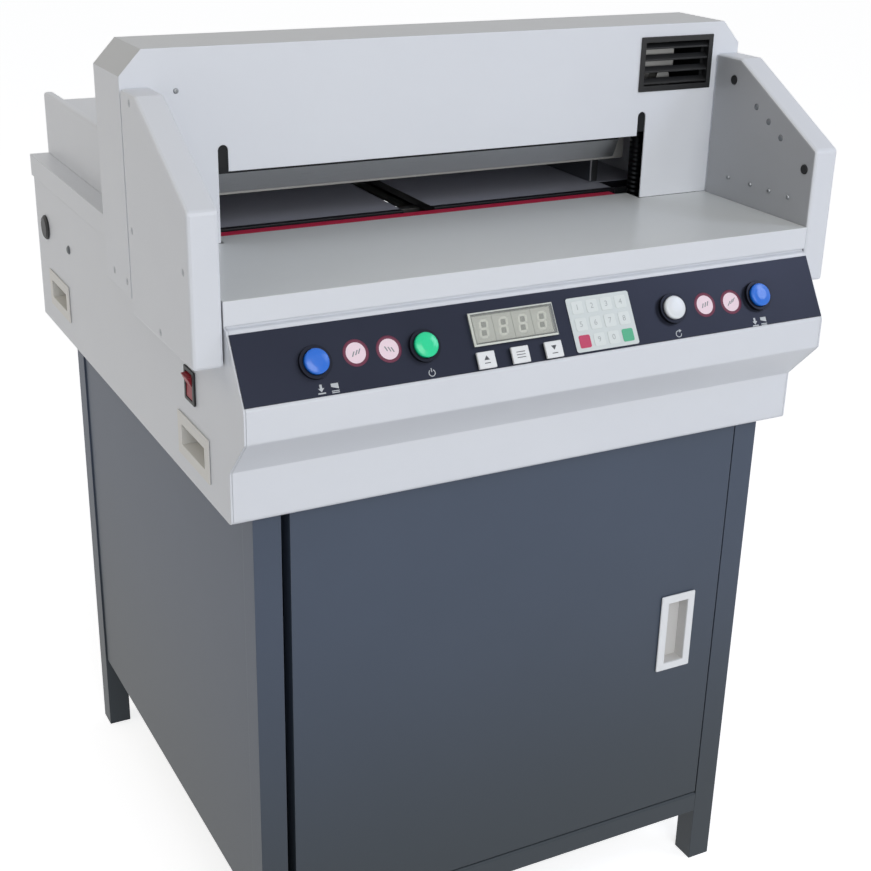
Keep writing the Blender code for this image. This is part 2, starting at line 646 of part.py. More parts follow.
def centred(middle, size):
    return (middle - size / 2, middle + size / 2)


def on_slope(item, parent, place):
    item.parent = parent
    item.location = place
    return item


def make_control_panel(parent):
    """Control plate with its four bezels and the raised field of the keypad."""
    plate = block((-PANEL_HALF_WIDTH, PANEL_HALF_WIDTH), (PANEL_LOW, PANEL_HIGH), (GAP, PANEL_FACE))
    field = block(centred(KEYPAD_X, KEYPAD_SIZE[0]), centred(KEYPAD_UP_SLOPE, KEYPAD_SIZE[1]),
                  (GAP, PANEL_FACE + KEYPAD_RAISE))
    bosses = [rod((u, BUTTON_UP_SLOPE), "Z", GAP, PANEL_FACE + BEZEL_HEIGHT, BEZEL_R, sides=28)
              for _, u, _ in button_places()]
    join(plate, field, *bosses)
    for _, u, _ in button_places():
        well = rod((u, BUTTON_UP_SLOPE), "Z", PANEL_FACE + BEZEL_FLOOR, PANEL_FACE + BEZEL_HEIGHT + OVERRUN,
                   BEZEL_BORE, sides=28)
        cut(plate, well, rod((u, BUTTON_UP_SLOPE), "Z", -OVERRUN, OVERRUN, BUTTON_STEM_R + GAP))
    cut(plate, *[key_hole(u, GAP) for _, u in key_places()])
    finish(on_slope(plate, parent, (0, 0, 0)), "control_panel", "navy_front_film")


def make_buttons(parent):
    """Round push buttons: a crowned cap in the bezel on a stem through the plate."""
    foot = BEZEL_FLOOR + GAP + BUTTON_TRAVEL
    for name, u, material in button_places():
        profile = [(0, -BUTTON_STEM), (BUTTON_STEM_R, -BUTTON_STEM), (BUTTON_STEM_R, foot), (BUTTON_R, foot),
                   (BUTTON_R, foot + BUTTON_SKIRT),
                   (BUTTON_R - BUTTON_CROWN / 2, foot + BUTTON_SKIRT + BUTTON_CROWN / 2),
                   (BUTTON_R / 2, foot + BUTTON_SKIRT + BUTTON_CROWN), (0, foot + BUTTON_SKIRT + BUTTON_CROWN)]
        finish(on_slope(turned(profile), parent, (u, BUTTON_UP_SLOPE, PANEL_FACE)), name, material)


def make_keys(parent):
    """Square keys under the display, each on a stem through the plate."""
    foot = GAP + KEY_TRAVEL
    for name, u in key_places():
        cap = soften(block(centred(0, KEY_SIZE[0]), centred(0, KEY_SIZE[1]), (foot, foot + KEY_HEIGHT)),
                     KEY_HEIGHT / 4)
        stem = block(centred(0, KEY_STEM[0]), centred(0, KEY_STEM[1]), (-KEY_STEM_LENGTH, foot + KEY_HEIGHT / 2))
        finish(on_slope(join(cap, stem), parent, (u, KEY_UP_SLOPE, PANEL_FACE)), name, "white_plastic")


def make_display_window(parent):
    """Clear cover over the figures: a bevelled cap, open behind."""
    u = centred(WINDOW_X, WINDOW_SIZE[0])
    s = centred(WINDOW_UP_SLOPE, WINDOW_SIZE[1])
    z = (PANEL_FACE + GAP, PANEL_FACE + WINDOW_HEIGHT)
    wall = 2 * WINDOW_WALL
    cover = soften(block(u, s, z), WINDOW_WALL, segments=1)
    hollow = block((u[0] + wall, u[1] - wall), (s[0] + wall, s[1] - wall), (0, z[1] - WINDOW_WALL))
    finish(on_slope(cut(cover, hollow), parent, (0, 0, 0)), "display_window", "clear_cover")


def make_controls():
    slope, _ = console_slope()
    parent = bpy.data.objects.new("console_slope", None)
    bpy.context.scene.collection.objects.link(parent)
    parent.matrix_world = slope
    make_control_panel(parent)
    make_buttons(parent)
    make_keys(parent)
    make_display_window(parent)


def make_rocker():
    """Mains rocker in its frame, in the left wall; the rocker turns about a line along Y."""
    y, z = ROCKER_CENTRE
    half_y, half_z = (size / 2 for size in ROCKER_FRAME_SIZE)
    face = -BODY_WIDTH / 2 - GAP
    rim = soften(block((face - ROCKER_FRAME_PROUD, face), (y - half_y, y + half_y), (z - half_z, z + half_z)),
                 ROCKER_FRAME_PROUD / 3)
    body_y, body_z = half_y - ROCKER_FRAME_RIM, half_z - ROCKER_FRAME_RIM
    body = block((face - ROCKER_FRAME_PROUD / 2, face + ROCKER_FRAME_DEPTH), (y - body_y, y + body_y),
                 (z - body_z, z + body_z))
    well = block((face - OVERRUN, face + ROCKER_FRAME_DEPTH - ROCKER_WALL),
                 (y - body_y + ROCKER_WALL, y + body_y - ROCKER_WALL),
                 (z - body_z + ROCKER_WALL / 2, z + body_z - ROCKER_WALL / 2))
    finish(cut(join(rim, body), well), "rocker_frame", "black_plastic")
    width = body_y - ROCKER_WALL - GAP
    half = ROCKER_HALF
    outline = [(half / 4, -half), (-half / 2, -half), (-half / 4, 0), (-half / 2, half), (half / 4, half),
               (half / 2, 0)]
    rocker = prism(outline, "Y", -width, width)
    rocker.data.transform(Matrix.Rotation(math.radians(ROCKER_TILT), 4, "Y"))
    rocker.location = (face + ROCKER_WALL, y, z)
    finish(rocker, "rocker", "red_plastic")


# Table

APRON_HEIGHT = 0.0219
APRON_SHEET = 0.0023
STICK_WIDTH = 0.014
STICK_HEIGHT = 0.012
STICK_LEFT_PLAY = 0.001
STICK_RIGHT_PLAY = 0.014
TABLE_LEFT_PLAY = 0.003
GROOVE_LEDGE = 0.008
GROOVE_RIB = 0.016
GROOVE_STEP = 0.012
KNIFE_SETBACK = 0.0314
SLOT_OFF_MIDDLE = 0.0055
SLOT_WIDTH = 0.036
REAR_TABLE_PLAY = 0.001
REAR_TABLE_BEHIND_STICK = 0.008
GUIDE_WIDTH = 0.010
GUIDE_HEIGHT = 0.040
GUIDE_BEHIND_HOOD = 0.0028
GUIDE_LENGTH = 0.260

KNIFE_Y = HOOD_FRONT_Y + KNIFE_SETBACK
STICK_FRONT_Y = KNIFE_Y - STICK_WIDTH / 2
STICK_BACK_Y = KNIFE_Y + STICK_WIDTH / 2
TABLE_LEFT_X = OPENING_LEFT + TABLE_LEFT_PLAY
TABLE_RIGHT_X = OPENING_RIGHT - FREE
SLOT_X = (OPENING_LEFT + OPENING_RIGHT) / 2 - SLOT_OFF_MIDDLE
STICK_TOP = TABLE_TOP - GAP


def make_work_table():
    """Front table with a folded apron; a tongue under the hood steps down to a groove for the stick."""
    half = BODY_WIDTH / 2 + CLEAR_OF_CHEEK
    bottom = TABLE_TOP - APRON_HEIGHT
    rear = HOOD_FRONT_Y - GAP
    apron = [(TABLE_FRONT_Y, bottom), (TABLE_FRONT_Y, TABLE_TOP), (rear, TABLE_TOP), (rear, TABLE_UNDER),
             (TABLE_FRONT_Y + APRON_SHEET, TABLE_UNDER), (TABLE_FRONT_Y + APRON_SHEET, bottom)]
    front = prism(apron, "X", -half, half)
    groove_floor = STICK_TOP - STICK_HEIGHT - GAP
    under = groove_floor - GROOVE_LEDGE
    rib_y = STICK_FRONT_Y - GAP - GROOVE_RIB
    step_y = STICK_BACK_Y + GAP
    root_y = rear - GROOVE_STEP
    profile = [(rib_y, under), (rib_y, TABLE_UNDER), (root_y, TABLE_UNDER), (root_y, TABLE_TOP),
               (STICK_FRONT_Y - GAP, TABLE_TOP), (STICK_FRONT_Y - GAP, groove_floor), (step_y, groove_floor),
               (step_y, SHELF_TOP), (step_y + GROOVE_STEP, SHELF_TOP), (step_y + GROOVE_STEP, under)]
    tongue = prism(profile, "X", TABLE_LEFT_X, TABLE_RIGHT_X)
    finish(join(front, tongue), "work_table", "grey_table_enamel")


def make_cutting_stick():
    stick = block((TABLE_LEFT_X + STICK_LEFT_PLAY, OPENING_RIGHT - STICK_RIGHT_PLAY), (STICK_FRONT_Y, STICK_BACK_Y),
                  (STICK_TOP - STICK_HEIGHT, STICK_TOP))
    finish(stick, "cutting_stick", "red_stick")


def make_rear_table():
    """Rear table with the slot in which the back gauge runs."""
    half = COVER_HALF_WIDTH - HOOD_SHEET - REAR_TABLE_PLAY
    rear = REAR_Y - CASING_SHEET - GAP
    front = STICK_BACK_Y + REAR_TABLE_BEHIND_STICK
    wide_from = HOOD_BACK_Y + GAP
    slot = (SLOT_X - SLOT_WIDTH / 2, SLOT_X + SLOT_WIDTH / 2)
    outline = [(-half, wide_from), (-half, rear), (half, rear), (half, wide_from), (TABLE_RIGHT_X, wide_from),
               (TABLE_RIGHT_X, front), (slot[1], front), (slot[1], SLOT_END_Y), (slot[0], SLOT_END_Y),
               (slot[0], front), (TABLE_LEFT_X, front), (TABLE_LEFT_X, wide_from)]
    finish(prism(outline, "Z", TABLE_UNDER, TABLE_TOP), "rear_table", "grey_table_enamel")


def make_side_guide():
    """Fence on the right of the rear table that squares the stack."""
    front = HOOD_BACK_Y + GUIDE_BEHIND_HOOD
    guide = block((OPENING_RIGHT - GUIDE_WIDTH, OPENING_RIGHT), (front, front + GUIDE_LENGTH),
                  (TABLE_TOP + GAP, TABLE_TOP + GUIDE_HEIGHT))
    finish(soften(guide, GAP * 3, segments=1), "side_guide", "ground_steel")


# Frame

CLEAR_OF_CHEEK = 0.0007
CHEEK_CLEARANCE = 0.0012
FRAME_PLATE = 0.010
FRAME_SET_IN = 0.003
FRAME_BEFORE_HOOD = 0.0167
FRAME_BEFORE_REAR = 0.1644
FRAME_REAR_HEIGHT = 0.070
FRAME_BELOW_HOOD = 0.003
FRAME_HOLE_R = 0.030
UPRIGHT_FRONT_GAP = 0.001
UPRIGHT_REAR_GAP = 0.0037
BEAM_FRONT_PLATE = 0.006
BEAM_TOP_PLATE = 0.006
BEAM_REAR_PLATE = 0.008
BEAM_ABOVE_LIP = 0.004
GUIDE_PIN_R = 0.008

FRAME_INNER_X = WALL_INNER_X - FRAME_SET_IN - FRAME_PLATE
FRAME_TOP = OVERALL_HEIGHT - HOOD_SHEET - FRAME_BELOW_HOOD
CASING_FLOOR = CASING_BOTTOM + CASING_SHEET + GAP

# Planes from the hood's front sheet back
BEAM_FRONT_Y = HOOD_FRONT_Y + HOOD_SHEET + GAP
CARRIER_FRONT_Y = BEAM_FRONT_Y + BEAM_FRONT_PLATE + GAP
CARRIER_THICK = 0.014
KNIFE_FRONT_Y = CARRIER_FRONT_Y + CARRIER_THICK + GAP
BLADE_THICK = 0.009
CLAMP_FRONT_Y = KNIFE_FRONT_Y + BLADE_THICK + GAP
BEAM_REAR_Y = HOOD_BACK_Y - UPRIGHT_REAR_GAP - GAP
CLAMP_BACK_Y = BEAM_REAR_Y - BEAM_REAR_PLATE - FREE


def make_side_frames():
    """Steel side plates: feet on the casing floor, an upright into the hood, a sloping rear edge."""
    front = HOOD_FRONT_Y - FRAME_BEFORE_HOOD
    rear = REAR_Y - FRAME_BEFORE_REAR
    front_up = HOOD_FRONT_Y + LOUVRE_DEPTH + UPRIGHT_FRONT_GAP
    rear_up = HOOD_BACK_Y - UPRIGHT_REAR_GAP
    shoulder = SHELF_TOP - WALL_FLANGE_SHEET - GAP
    outline = [(front, CASING_FLOOR), (front, shoulder), (front_up, shoulder), (front_up, FRAME_TOP),
               (rear_up, FRAME_TOP), (rear_up, shoulder), (rear, CASING_FLOOR + FRAME_REAR_HEIGHT),
               (rear, CASING_FLOOR)]
    hole_centre = (rear_up + FRAME_HOLE_R, CASING_FLOOR + FRAME_REAR_HEIGHT)
    for side, side_name in ((-1, "left"), (1, "right")):
        x = mirrored(side, FRAME_INNER_X, FRAME_INNER_X + FRAME_PLATE)
        plate = prism(outline, "X", *x)
        hole = rod(hole_centre, "X", x[0] - OVERRUN, x[1] + OVERRUN, FRAME_HOLE_R)
        finish(cut(plate, hole), f"side_frame_{side_name}", "dark_steel")


def make_cross_beam():
    """Channel that straddles knife and clamp; two fixed guide pins reach into the carrier's slots."""
    front, rear = BEAM_FRONT_Y, BEAM_REAR_Y
    front_bottom = HOOD_LIP + BEAM_ABOVE_LIP
    x = (-FRAME_INNER_X + GAP, FRAME_INNER_X - GAP)
    profile = [(front, front_bottom), (front, FRAME_TOP), (rear, FRAME_TOP), (rear, COVER_TOP),
               (rear - BEAM_REAR_PLATE, COVER_TOP), (rear - BEAM_REAR_PLATE, FRAME_TOP - BEAM_TOP_PLATE),
               (front + BEAM_FRONT_PLATE, FRAME_TOP - BEAM_TOP_PLATE), (front + BEAM_FRONT_PLATE, front_bottom)]
    beam = prism(profile, "X", *x)
    vent = block((LOUVRE_X[0] - LOUVRE_CLEARANCE, x[1] + OVERRUN), (front - OVERRUN, CARRIER_FRONT_Y - GAP / 2),
                 (LOUVRE_Z[0] - LOUVRE_CLEARANCE, LOUVRE_Z[1] + LOUVRE_CLEARANCE))
    cut(beam, vent)
    pins = [rod((pin_x, GUIDE_PIN_Z), "Y", front + BEAM_FRONT_PLATE / 2, KNIFE_FRONT_Y - 2 * GAP, GUIDE_PIN_R)
            for pin_x in GUIDE_PIN_X]
    finish(join(beam, *pins), "cross_beam", "dark_steel")


# Knife

KNIFE_ANGLE = 30.0
KNIFE_ABOVE_CLAMP = 0.0024
CARRIER_LEFT_PLAY = 0.011
CARRIER_RIGHT_PLAY = 0.0109
CARRIER_HEIGHT = 0.083
CARRIER_BELOW_BEAM = 0.005
CARRIER_CHAMFER = 0.012
GUIDE_PIN_INSET_LEFT = 0.085
GUIDE_PIN_INSET_RIGHT = 0.132
GUIDE_PIN_UP = 0.0205
BLADE_BEYOND_OPENING = 0.024
BLADE_HEIGHT = 0.0812
BLADE_BEVEL = 0.020
BLADE_EDGE = 0.0004
BLADE_CLEAR_OF_NUT = 0.002
SPINDLE_FROM_FRAME = 0.046
SPINDLE_BEHIND_HOOD_FRONT = 0.0453
NUT_WIDTH = 0.032
NUT_HEIGHT = 0.030
NUT_WALL = 0.004
NUT_UP = 0.043
NUT_PIN_R = 0.008
KNIFE_GEARBOX_HALF = 0.042
KNIFE_GEARBOX_HEIGHT = 0.0714
KNIFE_MOTOR_R = 0.034
KNIFE_MOTOR_LENGTH = 0.166

CLAMP_REST_Z = TABLE_TOP + CLAMP_OPENING
KNIFE_REST_Z = CLAMP_REST_Z + KNIFE_ABOVE_CLAMP
KNIFE_DROP = KNIFE_REST_Z - STICK_TOP - GAP
KNIFE_SHIFT = KNIFE_DROP * math.tan(math.radians(KNIFE_ANGLE))
CARRIER_LEFT_X = -FRAME_INNER_X + CARRIER_LEFT_PLAY
CARRIER_RIGHT_X = FRAME_INNER_X - KNIFE_SHIFT - CARRIER_RIGHT_PLAY
CARRIER_TOP = FRAME_TOP - BEAM_TOP_PLATE - CARRIER_BELOW_BEAM
CARRIER_BOTTOM = CARRIER_TOP - CARRIER_HEIGHT
GUIDE_PIN_X = (CARRIER_LEFT_X + GUIDE_PIN_INSET_LEFT, CARRIER_RIGHT_X - GUIDE_PIN_INSET_RIGHT)
GUIDE_PIN_Z = CARRIER_BOTTOM + GUIDE_PIN_UP
SPINDLE_X = FRAME_INNER_X - SPINDLE_FROM_FRAME
SPINDLE_Y = HOOD_FRONT_Y + SPINDLE_BEHIND_HOOD_FRONT
NUT_Z = CARRIER_BOTTOM + NUT_UP
KNIFE_GEARBOX_TOP = CASING_FLOOR + KNIFE_GEARBOX_HEIGHT


def slanted_slot(x, z, y0, y1):
    """Cutter for a slot: a guide pin at (x, z) leaves room for the carrier's whole travel."""
    radius = GUIDE_PIN_R + FREE
    run = Vector((-KNIFE_SHIFT, KNIFE_DROP))
    along = run.normalized()
    start_angle = math.atan2(along.y, along.x) + math.pi / 2
    steps = 12
    outline = []
    for centre, first in ((Vector((x, z)), start_angle), (Vector((x, z)) + run, start_angle - math.pi)):
        for k in range(steps + 1):
            turn = first + math.pi * k / steps
            outline.append(tuple(centre + radius * Vector((math.cos(turn), math.sin(turn)))))
    return prism(outline, "Y", y0, y1)


def make_knife_carrier():
    """Plate that carries the knife: slanted guide slots and a fork for the spindle nut."""
    y = (CARRIER_FRONT_Y, CARRIER_FRONT_Y + CARRIER_THICK)
    c = CARRIER_CHAMFER
    outline = [(CARRIER_LEFT_X, CARRIER_BOTTOM), (CARRIER_LEFT_X, CARRIER_TOP - c), (CARRIER_LEFT_X + c, CARRIER_TOP),
               (CARRIER_RIGHT_X - c, CARRIER_TOP), (CARRIER_RIGHT_X, CARRIER_TOP - c),
               (CARRIER_RIGHT_X, CARRIER_BOTTOM)]
    plate = prism(outline, "Y", *y)
    slots = [slanted_slot(x, GUIDE_PIN_Z, y[0] - OVERRUN, y[1] + OVERRUN) for x in GUIDE_PIN_X]
    fork_half = NUT_PIN_R + FREE
    fork = block((SPINDLE_X - KNIFE_SHIFT - fork_half, CARRIER_RIGHT_X + OVERRUN), (y[0] - OVERRUN, y[1] + OVERRUN),
                 (NUT_Z - fork_half, NUT_Z + fork_half))
    finish(cut(plate, *slots, fork), "knife_carrier", "machined_steel")


def make_knife_blade():
    """High-speed-steel knife, flat behind and bevelled in front."""
    back = KNIFE_FRONT_Y + BLADE_THICK
    top = KNIFE_REST_Z + BLADE_HEIGHT
    outline = [(KNIFE_FRONT_Y, top), (back, top), (back, KNIFE_REST_Z), (back - BLADE_EDGE, KNIFE_REST_Z),
               (KNIFE_FRONT_Y, KNIFE_REST_Z + BLADE_BEVEL)]
    right = SPINDLE_X - NUT_WIDTH / 2 - KNIFE_SHIFT - BLADE_CLEAR_OF_NUT
    finish(prism(outline, "X", OPENING_LEFT - BLADE_BEYOND_OPENING, right), "knife_blade", "ground_steel")


def make_knife_drive():
    """Gear motor on the casing floor, upright spindle, and the nut whose pin drives the carrier's fork."""
    spindle = rod((0, 0), "Z", KNIFE_GEARBOX_TOP + GAP, FRAME_TOP - BEAM_TOP_PLATE - GAP, KNIFE_SPINDLE_R)
    spindle.location = (SPINDLE_X, SPINDLE_Y, 0)
    finish(spindle, "knife_spindle", "machined_steel")
    body = block(centred(SPINDLE_X, NUT_WIDTH), (KNIFE_FRONT_Y + GAP, SPINDLE_Y + KNIFE_SPINDLE_R + NUT_WALL),
                 centred(NUT_Z, NUT_HEIGHT))
    pin = rod((SPINDLE_X, NUT_Z), "Y", CARRIER_FRONT_Y + GAP, KNIFE_FRONT_Y + FREE, NUT_PIN_R)
    bore = rod((SPINDLE_X, SPINDLE_Y), "Z", NUT_Z - NUT_HEIGHT, NUT_Z + NUT_HEIGHT, KNIFE_SPINDLE_R + GAP)
    finish(cut(join(soften(body, FREE, segments=1), pin), bore), "knife_nut", "machined_steel")
    half = KNIFE_GEARBOX_HALF
    box = block((SPINDLE_X - half, SPINDLE_X + half), (SPINDLE_Y - half, SPINDLE_Y + half),
                (CASING_FLOOR, KNIFE_GEARBOX_TOP))
    motor = rod((SPINDLE_X, (CASING_FLOOR + KNIFE_GEARBOX_TOP) / 2), "Y", SPINDLE_Y + half - GAP,
                SPINDLE_Y + half + KNIFE_MOTOR_LENGTH, KNIFE_MOTOR_R, sides=28)
    finish(join(soften(box, BEND_RADIUS, segments=1), motor), "knife_gearmotor", "cast_aluminium")


# Clamp

CLAMP_LEFT_PLAY = 0.008
CLAMP_RIGHT_PLAY = 0.004
CLAMP_PLATE = 0.008
CLAMP_NOSE_HEIGHT = 0.0636
CLAMP_PLATE_UP = 0.0236
CLAMP_PLATE_HEIGHT = 0.055
CLAMP_SIDE_PLAY = 0.006
PULL_ROD_INSET = 0.009
PULL_ROD_R = 0.006
YOKE_HALF_DEPTH = 0.008
YOKE_HEIGHT = 0.024
YOKE_CLEAR_OF_GEARBOX = 0.0123
YOKE_OVERHANG = 0.007
YOKE_BOSS_R = 0.014
YOKE_BOSS = 0.010
CLAMP_SCREW_FROM_FRAME = 0.236
CLAMP_SCREW_BEYOND = 0.001
CLAMP_GEARBOX_HALF = 0.035
CLAMP_GEARBOX_HEIGHT = 0.0667
CLAMP_MOTOR_R = 0.030
CLAMP_MOTOR_LENGTH = 0.140

CLAMP_SCREW_X = CLAMP_SCREW_FROM_FRAME - FRAME_INNER_X
CLAMP_AXIS_Y = CLAMP_BACK_Y - CLAMP_PLATE / 2
CLAMP_DROP = CLAMP_OPENING - GAP
CLAMP_HALF_WIDTH = FRAME_INNER_X - CLAMP_SIDE_PLAY
CLAMP_PLATE_BOTTOM = CLAMP_REST_Z + CLAMP_PLATE_UP
PULL_ROD_X = CLAMP_HALF_WIDTH - PULL_ROD_INSET
CLAMP_GEARBOX_TOP = CASING_FLOOR + CLAMP_GEARBOX_HEIGHT
YOKE_BOTTOM = CLAMP_GEARBOX_TOP + CLAMP_DROP + YOKE_BOSS + YOKE_CLEAR_OF_GEARBOX
YOKE_TOP = YOKE_BOTTOM + YOKE_HEIGHT


def make_clamp_beam():
    """Pressing nose close behind the knife, on a full-width plate."""
    nose = block((OPENING_LEFT + CLAMP_LEFT_PLAY, OPENING_RIGHT - CLAMP_RIGHT_PLAY), (CLAMP_FRONT_Y, CLAMP_AXIS_Y),
                 (CLAMP_REST_Z, CLAMP_REST_Z + CLAMP_NOSE_HEIGHT))
    plate = block((-CLAMP_HALF_WIDTH, CLAMP_HALF_WIDTH), (CLAMP_BACK_Y - CLAMP_PLATE, CLAMP_BACK_Y),
                  (CLAMP_PLATE_BOTTOM, CLAMP_PLATE_BOTTOM + CLAMP_PLATE_HEIGHT))
    finish(join(nose, plate), "clamp_beam", "machined_steel")


def make_clamp_yoke():
    """Two pull rods on a crossbar below the table, with the nut of the clamp screw in its middle."""
    y = (CLAMP_AXIS_Y - YOKE_HALF_DEPTH, CLAMP_AXIS_Y + YOKE_HALF_DEPTH)
    half = PULL_ROD_X + YOKE_OVERHANG
    yoke = block((-half, half), y, (YOKE_BOTTOM, YOKE_TOP))
    reach = (YOKE_TOP - GAP, CLAMP_PLATE_BOTTOM - GAP)
    rods = [rod((side * PULL_ROD_X, CLAMP_AXIS_Y), "Z", *reach, PULL_ROD_R, sides=16) for side in (-1, 1)]
    boss = rod((CLAMP_SCREW_X, CLAMP_AXIS_Y), "Z", YOKE_BOTTOM - YOKE_BOSS, YOKE_TOP + YOKE_BOSS, YOKE_BOSS_R)
    bore = rod((CLAMP_SCREW_X, CLAMP_AXIS_Y), "Z", YOKE_BOTTOM - 2 * YOKE_BOSS, YOKE_TOP + 2 * YOKE_BOSS,
               CLAMP_SCREW_R + GAP)
    finish(cut(join(yoke, *rods, boss), bore), "clamp_yoke", "machined_steel")


def make_clamp_drive():
    screw = rod((0, 0), "Z", CLAMP_GEARBOX_TOP + GAP, YOKE_TOP + YOKE_BOSS + CLAMP_SCREW_BEYOND, CLAMP_SCREW_R)
    screw.location = (CLAMP_SCREW_X, CLAMP_AXIS_Y, 0)
    finish(screw, "clamp_screw", "machined_steel")
    half = CLAMP_GEARBOX_HALF
    box = block((CLAMP_SCREW_X - half, CLAMP_SCREW_X + half), (CLAMP_AXIS_Y - half, CLAMP_AXIS_Y + half),
                (CASING_FLOOR, CLAMP_GEARBOX_TOP))
    motor = rod((CLAMP_AXIS_Y, (CASING_FLOOR + CLAMP_GEARBOX_TOP) / 2), "X",
                CLAMP_SCREW_X - half - CLAMP_MOTOR_LENGTH, CLAMP_SCREW_X - half + GAP, CLAMP_MOTOR_R, sides=28)
    finish(join(soften(box, BEND_RADIUS, segments=1), motor), "clamp_gearmotor", "cast_aluminium")


# Back gauge

GAUGE_BELOW_TABLE = 0.0241
RAIL_R = 0.007
RAIL_HALF_SPACING = 0.055
RAIL_BLOCK_EDGE = 0.013
RAIL_BLOCK_DEPTH = 0.012
RAIL_BLOCK_FOOT = 0.016
RAIL_CLEAR_OF_YOKE = 0.004
CARRIAGE_EDGE = 0.010
CARRIAGE_LENGTH = 0.040
CARRIAGE_HALF_HEIGHT = 0.012
CARRIAGE_BEHIND_FENCE = 0.030
CARRIAGE_STOP_GAP = 0.005
NECK_SIDE_PLAY = 0.0035
FENCE_LEFT_PLAY = 0.011
FENCE_RIGHT_PLAY = 0.006
FENCE_THICK = 0.012
FENCE_HEIGHT = 0.041
FENCE_LIFT = 0.0006
FOOT_HALF = 0.060
FOOT_THICK = 0.008
FOOT_LENGTH = 0.072
RIB_THICK = 0.006
RIB_INSET = 0.010
STEPPER_HALF = 0.021
STEPPER_LENGTH = 0.038
STEPPER_FROM_WALL = 0.0022

GAUGE_AXIS_Z = SHELF_TOP - GAUGE_BELOW_TABLE
RAIL_BLOCK_HALF = RAIL_HALF_SPACING + RAIL_R + RAIL_BLOCK_EDGE
CARRIAGE_HALF = RAIL_HALF_SPACING + RAIL_R + CARRIAGE_EDGE
RAIL_FRONT_Y = CLAMP_AXIS_Y + YOKE_BOSS_R + RAIL_CLEAR_OF_YOKE
RAIL_REAR_Y = REAR_Y - CASING_SHEET - STEPPER_FROM_WALL - STEPPER_LENGTH - GAP
SLOT_END_Y = RAIL_REAR_Y - RAIL_BLOCK_DEPTH
CARRIAGE_REAR_Y = SLOT_END_Y - CARRIAGE_STOP_GAP
CARRIAGE_FRONT_Y = CARRIAGE_REAR_Y - CARRIAGE_LENGTH
FENCE_REST_Y = CARRIAGE_FRONT_Y - CARRIAGE_BEHIND_FENCE
NECK_HALF = SLOT_WIDTH / 2 - NECK_SIDE_PLAY


def make_gauge_rails():
    """Sub-frame hung under the rear table: two end blocks and two round rails."""
    x = (SLOT_X - RAIL_BLOCK_HALF, SLOT_X + RAIL_BLOCK_HALF)
    z = (GAUGE_AXIS_Z - RAIL_BLOCK_FOOT, SHELF_TOP)
    front = block(x, (RAIL_FRONT_Y, RAIL_FRONT_Y + RAIL_BLOCK_DEPTH), z)
    rear = block(x, (RAIL_REAR_Y - RAIL_BLOCK_DEPTH, RAIL_REAR_Y), z)
    rails = [rod((SLOT_X + side * RAIL_HALF_SPACING, GAUGE_AXIS_Z), "Y", RAIL_FRONT_Y + RAIL_BLOCK_DEPTH / 2,
                 RAIL_REAR_Y - RAIL_BLOCK_DEPTH / 2, RAIL_R, sides=20) for side in (-1, 1)]
    bore = rod((SLOT_X, GAUGE_AXIS_Z), "Y", RAIL_FRONT_Y - OVERRUN, RAIL_REAR_Y + OVERRUN, GAUGE_SCREW_R + GAP)
    finish(cut(join(front, rails[0], rails[1], rear), bore), "gauge_rails", "machined_steel")


def make_gauge_carriage():
    """Slider on the rails with the screw nut and a neck through the table's slot."""
    y = (CARRIAGE_FRONT_Y, CARRIAGE_REAR_Y)
    z = (GAUGE_AXIS_Z - CARRIAGE_HALF_HEIGHT, GAUGE_AXIS_Z + CARRIAGE_HALF_HEIGHT)
    carriage = block((SLOT_X - CARRIAGE_HALF, SLOT_X + CARRIAGE_HALF), y, z)
    neck = block((SLOT_X - NECK_HALF, SLOT_X + NECK_HALF), y, (z[1] - GAP, TABLE_TOP + FENCE_LIFT))
    bores = [rod((SLOT_X + side * RAIL_HALF_SPACING, GAUGE_AXIS_Z), "Y", y[0] - OVERRUN, y[1] + OVERRUN, RAIL_R + GAP,
                 sides=20) for side in (-1, 1)]
    nut = rod((SLOT_X, GAUGE_AXIS_Z), "Y", y[0] - OVERRUN, y[1] + OVERRUN, GAUGE_SCREW_R + GAP)
    finish(cut(join(carriage, neck), *bores, nut), "gauge_carriage", "cast_aluminium")


def make_back_gauge():
    """Fence against which the stack is laid: a face plate, a foot on the neck and two ribs."""
    z0 = TABLE_TOP + FENCE_LIFT + GAP
    y0 = FENCE_REST_Y
    face = block((OPENING_LEFT + FENCE_LEFT_PLAY, OPENING_RIGHT - GUIDE_WIDTH - FENCE_RIGHT_PLAY),
                 (y0, y0 + FENCE_THICK), (z0, z0 + FENCE_HEIGHT))
    foot = block((SLOT_X - FOOT_HALF, SLOT_X + FOOT_HALF), (y0 + FENCE_THICK / 2, y0 + FOOT_LENGTH),
                 (z0, z0 + FOOT_THICK))
    join(face, foot)
    for side in (-1, 1):
        x = SLOT_X + side * (FOOT_HALF - RIB_INSET)
        rib_top, rib_rear = z0 + FENCE_HEIGHT - RIB_INSET, y0 + FOOT_LENGTH - RIB_INSET
        rib = prism([(y0 + FENCE_THICK / 2, z0 + FOOT_THICK / 2), (y0 + FENCE_THICK / 2, rib_top),
                     (y0 + FENCE_THICK, rib_top), (rib_rear, z0 + FOOT_THICK), (rib_rear, z0 + FOOT_THICK / 2)],
                    "X", x - RIB_THICK / 2, x + RIB_THICK / 2)
        join(face, rib)
    finish(face, "back_gauge", "ground_steel")


